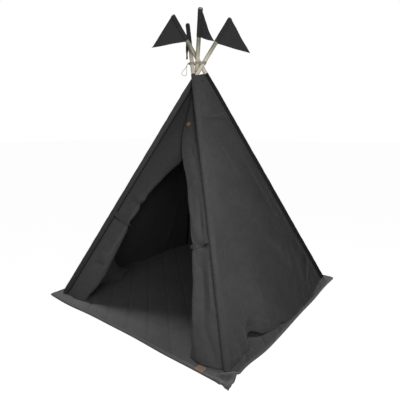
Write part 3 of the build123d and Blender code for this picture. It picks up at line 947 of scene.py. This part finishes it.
# ridges on each flap's front: start and end as (distance from the sleeve, height), width, height
FLAP_CREASES = {
    -1: (((0.05, 0.612), (0.16, 0.580), 0.015, 0.011), ((0.08, 0.560), (0.20, 0.548), 0.011, -0.009),
         ((0.08, 0.275), (0.15, 0.262), 0.028, 0.013), ((0.07, 0.213), (0.17, 0.220), 0.012, -0.009),
         ((0.03, 0.34), (0.12, 0.335), 0.018, -0.004), ((0.06, 0.045), (0.12, 0.040), 0.026, 0.007),
         ((0.150, 0.43), (0.135, 0.28), 0.018, 0.004), ((0.19, 0.60), (0.160, 0.49), 0.016, 0.006)),
    1: (((0.06, 0.95), (0.045, 0.82), 0.010, 0.008), ((0.03, 0.72), (0.09, 0.69), 0.008, 0.006),
        ((0.115, 0.40), (0.135, 0.10), 0.016, 0.013), ((0.070, 0.41), (0.075, 0.12), 0.020, -0.014),
        ((0.02, 0.38), (0.03, 0.20), 0.012, 0.008), ((0.10, 0.66), (0.09, 0.47), 0.014, 0.008),
        ((0.04, 0.64), (0.05, 0.47), 0.014, -0.008), ((0.03, 0.03), (0.07, 0.13), 0.018, -0.010),
        ((0.12, 0.02), (0.13, 0.10), 0.020, 0.008), ((0.015, 0.444), (0.080, 0.424), 0.013, -0.019)),
}


def flap_surface(side, z):
    points, run, share = flap_sections(side, z)
    height = points[..., 2].copy()
    outward = -side * grid_normals(points)
    from_tie = height - tie_line(side, share)
    gather = bell(from_tie, 0, 0.15) * (1 - bell(from_tie, 0, 0.03))
    comb = np.sin(run / 0.0105 + 0.9 * side + 2 * from_tie) + 0.5 * np.sin(run / 0.0062 + 2.1)
    relief = 0.0012 * gather * comb
    relief = relief + 0.0018 * ripple(run, height, 0.24, 41 + side)
    relief = relief + 0.0011 * ripple(run, height, 0.07, 44 + side)
    relief = relief - 0.007 * bell(from_tie, 0, 0.020) * share
    relief = creased(relief, run, height, FLAP_CREASES[side])
    relief = relief * (1 - 0.85 * ease((height - 0.84) / 0.1))
    free = ease((run - 0.008) / 0.035)
    gathers = 0.0013 * pucker(height, side + 5) * bell(run, 0.012, 0.008)
    points = points + outward * (relief * free + gathers)[..., None]
    settle(points)
    return points, run, share


def make_flap(side):
    marks = [HEM_Z + HEM_BAND, HEM_Z + HEM_BAND + 0.0007]
    z = np.sort(np.concatenate([np.linspace(HEM_Z, FLAP_TOP, 230), marks]))
    points, run, _ = flap_surface(side, z)
    height = np.broadcast_to(z[:, None], run.shape)
    if side > 0:
        points, run = points[:, ::-1], run[:, ::-1]
    outer = CLOTH / 2 + STEP * (height <= HEM_Z + HEM_BAND + 1e-6)
    outer = np.maximum(outer, CLOTH / 2 + 1.4 * STEP * (run < 0.008) * (run > 0.0005))
    piece = Piece()
    add_sheet(piece, points, np.stack([run, height], -1), outer=outer)
    normals = grid_normals(points)
    skin = points + normals * outer[..., None]
    for row_height in (HEM_Z + 0.005, HEM_Z + 0.017):
        row = int(np.argmin(abs(z - row_height)))
        add_stitches(piece, skin[row], normals[row])
    welt = 2 if side < 0 else -3
    add_stitches(piece, skin[2:-2, welt], normals[2:-2, welt])
    name, materials = SIDE_NAMES[side], [FLAP_CLOTH[side], THREAD]
    piece.place(f"door_cloth_{name}", materials, f"door_flap_{name}", "cover_canvas", f"door_{name}")


def make_tie(side):
    """A folded cloth strap round the gathered flap, sewn at the sleeve, with a loose end."""
    across = np.linspace(-TIE_HALF_WIDTH, TIE_HALF_WIDTH, 7)
    z = np.linspace(TIE_AT_FOLD[side] - 0.06, TIE_AT_SLEEVE[side] + 0.06, 90)
    points, run, share = flap_surface(side, z)
    columns = points.shape[1]
    outward = -side * grid_normals(points)
    wanted = tie_line(side, share[0])
    strap = np.zeros((len(across), columns, 3))
    normal = np.zeros_like(strap)
    for i, offset in enumerate(across):
        for c in range(columns):
            at = wanted[c] + offset
            strap[i, c] = [np.interp(at, z, points[:, c, k]) for k in range(3)]
            normal[i, c] = [np.interp(at, z, outward[:, c, k]) for k in range(3)]
    normal = unit(normal)
    along = np.linspace(0, 1, columns)[None]
    tilt = (across / TIE_HALF_WIDTH)[:, None]
    lift = 0.0036 + 0.0085 * bell(along, 0.13, 0.16) * (1 - tilt) / 2
    lift = lift + 0.0007 * np.sin(along * 21 + side) * tilt
    strap = strap + normal * lift[..., None]
    last = int(columns * 0.88)
    strap, lengths = strap[:, :last], np.broadcast_to(run[0, :last], (len(across), last))
    if side > 0:
        strap, lengths = strap[:, ::-1], lengths[:, ::-1]
    piece = Piece()
    uvs = np.stack([lengths, np.broadcast_to(across[:, None], lengths.shape)], -1)
    add_sheet(piece, strap, uvs, outer=0.0011, inner=0.0006)
    normals = grid_normals(strap)
    for row in (1, -2):
        add_stitches(piece, strap[row] + normals[row] * 0.0011, normals[row])
    add_tie_tail(piece, points, share, side)
    name = SIDE_NAMES[side]
    piece.place(f"tie_strap_{name}", [COVER, THREAD], f"door_tie_{name}", "cover_canvas", f"door_{name}")


def add_tie_tail(piece, points, share, side):
    """The strap's loose end, which stands out a little past the rolled edge."""
    row = int(np.argmin(abs(points[:, 0, 2] - TIE_AT_FOLD[side])))
    column = int(np.argmax(share[0] >= 1))
    root = points[row, column]
    out = unit(np.array([-side * 1.0, -0.30, -0.12]))
    drop = np.array([0, 0, -1.0])
    u, v = np.meshgrid(np.linspace(0, 1, 14), np.linspace(-1, 1, 7))
    reach = 0.024 * u
    points = root + out * (reach - 0.004)[..., None] + drop * (0.010 * u**2 - 0.004)[..., None]
    points = points + UP * (v * TIE_HALF_WIDTH * (0.72 + 0.1 * u))[..., None]
    points = points + np.array([0, 1.0, 0]) * (0.003 * np.sin(u * 3 + v))[..., None]
    add_sheet(piece, points, np.stack([reach, v * TIE_HALF_WIDTH], -1), outer=0.0008, inner=0.0008)


# ---- floor mat ----
QUILT = 0.105
BINDING = 0.016
MAT_WAVE = 0.006


def mat_edge_shift(along, seed):
    """How far the mat's edge wanders out or in."""
    return MAT_WAVE * ripple(along, along * 0, 0.55, seed, 6)


def mat_point(x, y):
    """The mat's plan: its edges wander, the right one is pulled in by the fold before the foot,
    and the front right tip sticks out."""
    shift_x = mat_edge_shift(y, 51) * (x < 0) + mat_edge_shift(y, 52) * (x > 0)
    shift_y = mat_edge_shift(x, 53) * (y < 0) + mat_edge_shift(x, 54) * (y > 0)
    px = x * (1 + shift_x / MAT_HALF * abs(x / MAT_HALF))
    py = y * (1 + shift_y / MAT_HALF * abs(y / MAT_HALF))
    pulled = ease((x / MAT_HALF - 0.86) / 0.14) * bell(y, -0.49, 0.12)
    tip = ease(((x - y) / MAT_HALF - 1.86) / 0.14)
    return px - 0.024 * pulled + 0.006 * tip, py - 0.012 * tip


def quilt_height(x, y):
    """The pad's top: soft ridges between sewn lines that run at 45 degrees."""
    low = 0.0056
    line = abs((x + y) / QUILT / 2**0.5 % 1 - 0.5) * 2
    ridge = 1 - 0.55 * line**3 - 0.45 * line**14
    edge = np.clip((MAT_HALF - np.maximum(abs(x), abs(y))) / 0.03, 0, 1)
    height = low + (MAT_TOP - 0.0006 - low) * ridge * ease(edge + 0.25)
    height = height + 0.0008 * ripple(x, y, 0.10, 55) + 0.0005 * ripple(x, y, 0.04, 56)
    for corner in CORNERS:
        foot = on_pole(corner, HEM_Z)
        near = np.exp(-(((x - foot[0]) ** 2 + (y - foot[1]) ** 2) / 0.04**2))
        height = height + (MAT_TOP - height) * near
    return height


def mat_surface(x, y):
    return quilt_height(x, y) + mat_lift(x, y)


# folds across the front right corner: place along the diagonal, width, height
CORNER_FOLDS = ((1.868, 0.030, 0.021), (1.945, 0.020, 0.010))


def mat_lift(x, y):
    """The front right corner is rucked up before the foot, and the front edge waves."""
    diagonal = (x - y) / MAT_HALF
    across = (x + y) / MAT_HALF
    bend = 0.0
    for place, width, rise in CORNER_FOLDS:
        bend = bend + rise * bell(diagonal - place, 0.14 * across, width)
    bend = bend * ease((diagonal - 1.815) / 0.030) * ease((across + 0.13) / 0.10)
    front = 0.0016 * (1 + np.sin(x * 17)) * np.clip((-y / MAT_HALF - 0.93) / 0.07, 0, 1)
    return bend + front


def make_mat():
    count = 300
    inner = MAT_HALF - 0.006
    line = np.linspace(-inner, inner, count)
    x, y = np.meshgrid(line, line)
    px, py = mat_point(x, y)
    top = mat_surface(x, y)
    bottom = 0.0004 + mat_lift(x, y)
    faces = grid_faces(count, count) + grid_faces(count, count, count**2, flip=True)
    faces += wall_faces(np.arange(count**2).reshape(count, count), count**2)
    both = np.concatenate([np.stack([px, py, z], -1).reshape(-1, 3) for z in (top, bottom)])
    piece = Piece()
    piece.add(both, faces, np.concatenate([np.stack([x, y], -1).reshape(-1, 2)] * 2))
    add_quilting(piece, inner)
    piece.place("mat_quilt", [MAT_CLOTH, MAT_THREAD], "mat_pad", "mat_canvas", "mat")


def add_quilting(piece, inner):
    """The sewn lines, along x + y = constant."""
    step = QUILT * 2**0.5
    for k in range(-9, 9):
        offset = (k + 1) * step
        reach = 2 * inner - abs(offset)
        if reach <= 0.05:
            continue
        along = np.linspace(-reach / 2, reach / 2, 300) * 0.985
        x, y = offset / 2 + along, offset / 2 - along
        px, py = mat_point(x, y)
        path = np.stack([px, py, mat_surface(x, y) + 0.0001], -1)
        add_stitches(piece, path, np.broadcast_to(UP, path.shape), pitch=0.0056, scale=1.2)


def make_binding():
    """A woven tape folded round the mat's edge."""
    half = MAT_HALF - 0.002
    radius = 0.022
    spots = []
    for quarter, signs in enumerate(((1, -1), (1, 1), (-1, 1), (-1, -1))):
        start = -pi / 2 + quarter * pi / 2
        turn = np.linspace(start, start + pi / 2, 14)
        centre = (half - radius) * np.array(signs)
        spots.append(centre + radius * np.stack([np.cos(turn), np.sin(turn)], -1))
    loop = np.concatenate(spots)
    closed = np.concatenate([loop, loop[:1]])
    steps = lengths_along(closed)
    at = np.linspace(0, steps[-1], 900, endpoint=False)
    rim = np.stack([np.interp(at, steps, closed[:, k]) for k in range(2)], -1)
    forward = unit(np.roll(rim, -1, axis=0) - np.roll(rim, 1, axis=0))
    out = np.stack([forward[:, 1], -forward[:, 0]], -1)
    thick = 0.0048
    # across the tape, from its upper to its lower sewn edge: (outwards from the rim, height)
    section = [
        (-BINDING, 2 * thick), (-BINDING + 0.001, 2 * thick + 0.0012), (-0.004, 2 * thick + 0.0008),
        (-0.001, 2 * thick - 0.0008), (0.0005, thick), (-0.001, 0.0014), (-0.004, 0.0002), (-BINDING, 0.0003),
    ]
    points = np.zeros((len(rim), len(section), 3))
    for k, (reach, z) in enumerate(section):
        spot = rim + out * reach
        px, py = mat_point(spot[:, 0], spot[:, 1])
        points[:, k] = np.stack([px, py, z + mat_lift(spot[:, 0], spot[:, 1])], -1)
    upper = np.array([height > thick for _, height in section])
    points[..., 2] += 0.0004 * ripple(at, at * 0, 0.05, 61)[:, None] * upper
    rows, cols = points.shape[:2]
    index = np.arange(rows * cols).reshape(rows, cols)
    nxt, right = np.roll(index, -1, axis=0), np.roll(index, -1, axis=1)
    both = np.roll(nxt, -1, axis=1)
    faces = list(zip(index.ravel(), nxt.ravel(), both.ravel(), right.ravel()))
    uvs = np.stack(np.broadcast_arrays(at[:, None], np.linspace(0, 0.04, cols)[None]), -1)
    piece = Piece()
    piece.add(points.reshape(-1, 3), faces, uvs.reshape(-1, 2))
    share = 0.22
    path = points[:, 1] * (1 - share) + points[:, 2] * share + UP * 0.0002
    path = np.concatenate([path, path[:1]])
    add_stitches(piece, path, np.broadcast_to(UP, path.shape))
    piece.place("mat_edge_tape", [TAPE, THREAD], "mat_binding", "mat_binding", "mat")


def make_tag():
    """A plain leather tag sewn over the mat's front edge."""
    low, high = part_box("mat_tag")
    x0, x1 = low.x + 0.004, high.x - 0.006
    u, v = np.meshgrid(np.linspace(0, 1, 26), np.linspace(0, 1, 22))
    x = x0 + (x1 - x0) * u
    y = -MAT_HALF + 0.036 * v - 0.001
    px, py = mat_point(x, np.maximum(y, -MAT_HALF))
    over = np.clip((y + MAT_HALF) / 0.006, 0, 1)
    z = mat_lift(x, y) + 0.0040 + (0.0118 - 0.0040) * np.sin(over * pi / 2) + 0.0006 * np.sin(u * pi)
    points = np.stack([px, py, z], -1)
    piece = Piece()
    add_sheet(piece, points, np.stack([x, y], -1), outer=0.0009, inner=0.0006)
    normals = grid_normals(points)
    skin = points + normals * 0.0009
    for line in (np.s_[3:-2, 2], np.s_[3:-2, -3], np.s_[-3, 2:-2]):
        add_stitches(piece, skin[line], normals[line], pitch=0.0034)
    piece.place("leather_tag", [TAN, TAN_THREAD], "mat_tag", "tag_leather", "mat")


# ---- flags ----
FLAG_BASE = 0.140
FLAG_LENGTH = 0.185
FLAG_DROP = 0.009
FLAG_TUBE = 0.0124  # radius of the tube round the pole
# a flag that hangs lower: its share of the full base, and added drop
LOW_FLAG = {"back_left": (0.93, 0.016)}
FLAG_TURN = {"front_left": -3, "front_right": 2, "back_right": -4, "back_left": -14}  # degrees


def make_flag(corner, seed):
    """A pennant: a tube of cloth over the pole's tip that runs out into a three-cornered sheet."""
    origin, direction = POLES[corner]
    down = unit(np.cross(direction, np.cross(direction, UP)))
    side = np.cross(down, direction)
    angle = radians(FLAG_TURN[corner])
    out = down * cos(angle) + side * sin(angle)
    face = np.cross(out, direction)
    tip = origin + direction * 0.070
    root = 0.0135
    share, sag = LOW_FLAG.get(corner, (1.0, 0.0))
    base, drop = FLAG_BASE * share, FLAG_DROP + sag
    u, v = np.meshgrid(np.linspace(0, 1, 60), np.linspace(0, 1, 46))
    distance = root + (FLAG_LENGTH - root) * u
    top_edge = (base / 2 + drop) * u
    bottom_edge = base - (base / 2 - drop) * u
    along = -(bottom_edge + (top_edge - bottom_edge) * v)
    span = ease(u / 0.3)
    wave = 0.006 * np.sin(distance * 34 + seed) * u
    wave = wave + 0.0022 * ripple(distance, along, 0.07, 70 + seed) * span
    wave = wave + 0.004 * np.sin(pi * (v - 0.5)) * u * (1 if seed % 2 else -1)
    points = tip + distance[..., None] * out + along[..., None] * direction
    points = points + wave[..., None] * face
    edge = np.minimum(np.minimum(v, 1 - v) * base * (1 - u) * 0.9, 0.2)
    outer = CLOTH / 2 + 0.0006 * (edge < 0.006)
    piece = Piece()
    add_sheet(piece, points, np.stack([distance, along], -1), outer=outer, inner=outer)
    normals = grid_normals(points)
    for face_sign in (1, -1):
        for share in (0.05, 0.95):
            columns = range(52)
            line = [[np.interp(share, v[:, c], points[:, c, k]) for k in range(3)] for c in columns]
            normal = normals[20, :52] * face_sign
            add_stitches(piece, np.array(line) + normal * (CLOTH / 2 + 0.0006), normal)
        normal = normals[3:-3, 1] * face_sign
        add_stitches(piece, points[3:-3, 1] + normal * CLOTH / 2, normal)
    tube, uvs = flag_tube(tip, direction, out, face, base, seed)
    add_wrapped(piece, tube, uvs)
    node = f"flag_{corner}"
    piece.place(f"flag_cloth_{corner}", [PENNANT, THREAD], node, "flag_canvas", node)


def flag_tube(tip, direction, out, face, base, seed):
    """The sewn tube over the pole, bulging where the pennant leaves it, its ends turned in."""
    angle = np.linspace(0, tau, 36, endpoint=False)
    lip = [base + 0.0002, base - 0.004, base - 0.02]
    down = np.concatenate([[0.012, 0.004, 0.0005], np.linspace(0, base, 40), lip])
    inset = np.concatenate([[CLOTH, CLOTH, 0.0002], np.zeros(40), [0.0002, CLOTH, CLOTH]])
    t, theta = np.meshgrid(down, angle, indexing="ij")
    radius = FLAG_TUBE - inset[:, None] + 0.0003 * ripple(theta * 0.012, t, 0.03, 80 + seed)
    radius = radius + 0.0022 * bell((theta + pi) % tau - pi, 0, 0.45)
    ring = np.cos(theta)[..., None] * out + np.sin(theta)[..., None] * face
    tube = tip - t[..., None] * direction + radius[..., None] * ring
    return tube[:, ::-1], np.stack([theta * FLAG_TUBE, t], -1)[:, ::-1]


# ---- cord ----
CORD_RADIUS = 0.0015
LASHING_Z = box_centre("lashing_cord")[2]


def lashing_ring(height, clearance):
    """A taut level turn round all four poles: its points and their bearings from its middle."""
    centres = np.array([on_pole(corner, height) for corner in CORNERS])
    reach = np.array([POLE_RADIUS / POLES[corner][1][2] for corner in CORNERS])
    reach = reach + CORD_RADIUS + clearance
    middle = centres.mean(0)
    turn = np.linspace(0, tau, 240, endpoint=False)
    normal = np.stack([np.cos(turn), np.sin(turn), turn * 0], -1)
    support = (centres @ normal.T) + reach[:, None]
    pick = support.argmax(0)
    edge = centres[pick] + normal * reach[pick][:, None]
    bearing = np.unwrap(np.arctan2(edge[:, 1] - middle[1], edge[:, 0] - middle[0]))
    return edge, bearing


def make_lashing():
    """The cord: turns round the crossing, and a knot."""
    piece = Piece()
    turns, per_turn = 4, 140
    path = []
    for i in range(turns * per_turn):
        share = i / per_turn
        height = LASHING_Z - 0.0065 + 0.0032 * share
        edge, bearing = lashing_ring(height, 0.0006)
        position = (share % 1.0) * (bearing[-1] - bearing[0]) + bearing[0]
        path.append([np.interp(position, bearing, edge[:, k]) for k in range(2)] + [height])
    path = np.array(path)
    kernel = np.ones(5) / 5
    for k in range(3):
        path[2:-2, k] = np.convolve(path[:, k], kernel, mode="valid")
    add_cord(piece, path, CORD_RADIUS)
    knot_centre, knot_out, knot_side = loop_frame()
    t = np.linspace(0, tau * 2, 150)
    knot = knot_centre - knot_out * 0.0055 + (
        knot_side[None] * (0.0042 * np.sin(t))[:, None]
        + UP[None] * (0.0046 * np.sin(2 * t + 0.6))[:, None]
        + knot_out[None] * (0.0030 * np.cos(t))[:, None]
    )
    add_cord(piece, knot, CORD_RADIUS)
    piece.place("cord_lashing", [CORD], "lashing_cord", "cord", "pole_back_left")


def loop_frame():
    """The bend at the loop's top, the level way out from the lashing, and sideways."""
    joint = JOINTS["cord_loop_swing"]
    side = unit(joint["axis"])
    return np.array(joint["pos_m"], float), np.cross(UP, side), side


def make_loop():
    """The bow's free loop, with its two strands crossing at the knot."""
    centre, out, side = loop_frame()
    lean = radians(20)
    down = -UP * cos(lean) + out * sin(lean)
    wide = np.cross(side, down)
    t = np.linspace(0, 1, 170)
    swell = np.sin(pi * t) ** 1.6
    length = 0.066
    path = (
        centre
        + down[None] * (length * np.sin(pi * t) ** 0.8)[:, None]
        + wide[None] * (0.017 * np.sin(tau * t) * swell**0.5)[:, None]
        + side[None] * (0.0035 * np.cos(pi * t))[:, None]
    )
    piece = Piece()
    add_cord(piece, path, CORD_RADIUS * 0.9)
    piece.place("cord_loop", [LOOP_CORD], "lashing_loop", "cord", "cord_loop")


# ---- fittings ----
def make_button_thread():
    """The crossed threads in the button's four holes."""
    centre = box_centre("door_button")
    left, right = on_pole("front_left", centre[2]), on_pole("front_right", centre[2])
    across = unit(right - left)
    high, low = ((on_pole("front_left", z) + on_pole("front_right", z)) / 2 for z in (1.2, 0.1))
    slope = unit(high - low)
    outward = unit(np.cross(across, slope))
    up = np.cross(outward, across)
    piece = Piece()
    t = np.linspace(-1, 1, 24)
    for direction in (1, -1):
        for shift in (-0.0005, 0.0005):
            line = (
                centre
                + (across * 0.0027)[None] * t[:, None]
                + (up * 0.0027 * direction)[None] * t[:, None]
                + (up * shift)[None]
                + outward[None] * (0.0006 + 0.0012 * (1 - t**4))[:, None]
            )
            add_cord(piece, line, 0.00045, lay=0.002, sides=6)
    piece.place("button_thread", [THREAD], None, "cord", "door_right")


def finish_cad_nodes():
    """The nodes that keep their CAD shape. Each pole is a little darker than the last."""
    for index, corner in enumerate(CORNERS):
        pale, dark = (shade(color, 1 - 0.05 * index) for color in (PINE, PINE_GRAIN))
        pine = wood(f"pine_{corner}", corner, pale, dark)
        for node in (f"pole_lower_{corner}", f"pole_upper_{corner}"):
            finish_node(node, pine)
        finish_node(f"ferrule_{corner}", drawn_metal(f"drawn_metal_{corner}", (0.6, 0.6, 0.58), corner))
    black = lacquer("black_lacquer", (0.004, 0.004, 0.004))
    for side in ("left", "back", "right"):
        finish_node(f"eyelet_{side}", black)
    finish_node("door_button", turned_wood("button_wood", (0.17, 0.105, 0.066), (0.085, 0.048, 0.030)))


def pale_floor():
    """A pale floor that the camera sees nearly white, with only a trace of shadow."""
    n = Nodes("pale_floor", 0.8)
    n.finish(Base_Color=(0.6, 0.6, 0.6, 1.0))
    glow = n.new("Emission", {"Strength": 1.19})
    seen = n.times(n.new("LightPath").outputs["Is Camera Ray"], 0.80)
    both = n.new("MixShader", {0: seen, 1: n.shader.outputs[0], 2: glow.outputs[0]})
    n.tree.links.new(both.outputs[0], n.tree.nodes["Material Output"].inputs["Surface"])
    return n.material


# ---- the scene ----
# pieces that take the lamps meant for the tent's inside and its mat
INSIDE = ("mat_", "leather_tag", "panel_cloth_left", "panel_cloth_back")
# the lamps: place, size, power, and the pieces they light: all, the inside or the rest
LAMPS = (
    ((2.7, -2.0, 2.3), 1.6, 18.0, None),
    ((-1.45, 0.15, 3.1), 0.8, 122.0, "inside"),
    ((2.4, 0.9, 1.9), 0.8, 80.0, "inside"),
    ((1.1, -2.4, 1.3), 1.4, 22.0, "inside"),
    ((1.02, -1.02, 1.20), 0.6, 19.0, "outside"),
)
LAMP_TARGET = Vector((0, 0, 0.5))
WORLD_LIGHT = 0.22
FLOOR_HALF = 30.0


def add_object(name, data):
    thing = bpy.data.objects.new(name, data)
    bpy.context.scene.collection.objects.link(thing)
    return thing


def make_floor():
    mesh = bpy.data.meshes.new("floor")
    ends = (-FLOOR_HALF, FLOOR_HALF)
    (x0, x1), (y0, y1) = ends, ends
    mesh.from_pydata([(x0, y0, 0), (x1, y0, 0), (x1, y1, 0), (x0, y1, 0)], [], [(0, 1, 2, 3)])
    floor = add_object("floor", mesh)
    floor.location.z = -0.0005
    mesh.materials.append(pale_floor())


def make_world():
    """White to the camera, and a dim even light on everything else."""
    world = bpy.data.worlds.new("studio")
    bpy.context.scene.world = world
    world.use_nodes = True
    tree = world.node_tree
    background = tree.nodes["Background"]
    background.inputs["Color"].default_value = (1, 1, 1, 1)
    seen = tree.nodes.new("ShaderNodeLightPath").outputs["Is Camera Ray"]
    level = tree.nodes.new("ShaderNodeMapRange")
    level.inputs["To Min"].default_value, level.inputs["To Max"].default_value = WORLD_LIGHT, 1.0
    tree.links.new(seen, level.inputs["Value"])
    tree.links.new(level.outputs[0], background.inputs["Strength"])


def make_lamps():
    groups = {name: bpy.data.collections.new(name) for name in ("inside", "outside")}
    for thing in list(bpy.context.scene.collection.all_objects):
        if thing.type == "MESH":
            groups["inside" if thing.name.startswith(INSIDE) else "outside"].objects.link(thing)
    for place, size, power, lit in LAMPS:
        lamp = bpy.data.lights.new("softbox", "AREA")
        lamp.energy, lamp.size = power, size
        light = add_object("softbox", lamp)
        light.location = place
        light.visible_camera = False
        if lit:
            light.light_linking.receiver_collection = groups[lit]
        light.rotation_euler = (LAMP_TARGET - Vector(place)).to_track_quat("-Z", "Y").to_euler()


def make_camera():
    camera = bpy.data.cameras.new("camera")
    camera.lens, camera.sensor_width = 31.15, 36.0
    view = add_object("camera", camera)
    azimuth, elevation, distance = radians(37.18), radians(11.35), 2.050
    back = Vector((sin(azimuth) * cos(elevation), -cos(azimuth) * cos(elevation), sin(elevation)))
    view.location = Vector((0.001, 0.001, 0.550)) + back * distance
    view.rotation_euler = (-back).to_track_quat("-Z", "Y").to_euler()
    bpy.context.scene.camera = view
    bpy.context.scene.view_settings.view_transform = "Standard"


for index, corner in enumerate(CORNERS):
    make_sleeve(corner, 90 + 3 * index)
    make_flag(corner, index + 1)
make_panel("right", "front_right", "back_right", right_shape,
           ("pole_back_right", "pole_front_right"), flip_weights=True)
make_panel("back", "back_right", "back_left", back_shape,
           ("pole_back_left", "pole_back_right"), flip_weights=True)
make_panel("left", "back_left", "front_left", left_shape, ("pole_back_left", "pole_front_left"))
for side in (-1, 1):
    make_flap(side)
    make_tie(side)
make_mat()
make_binding()
make_tag()
make_lashing()
make_loop()
make_button_thread()
finish_cad_nodes()
make_floor()
make_world()
make_lamps()
make_camera()
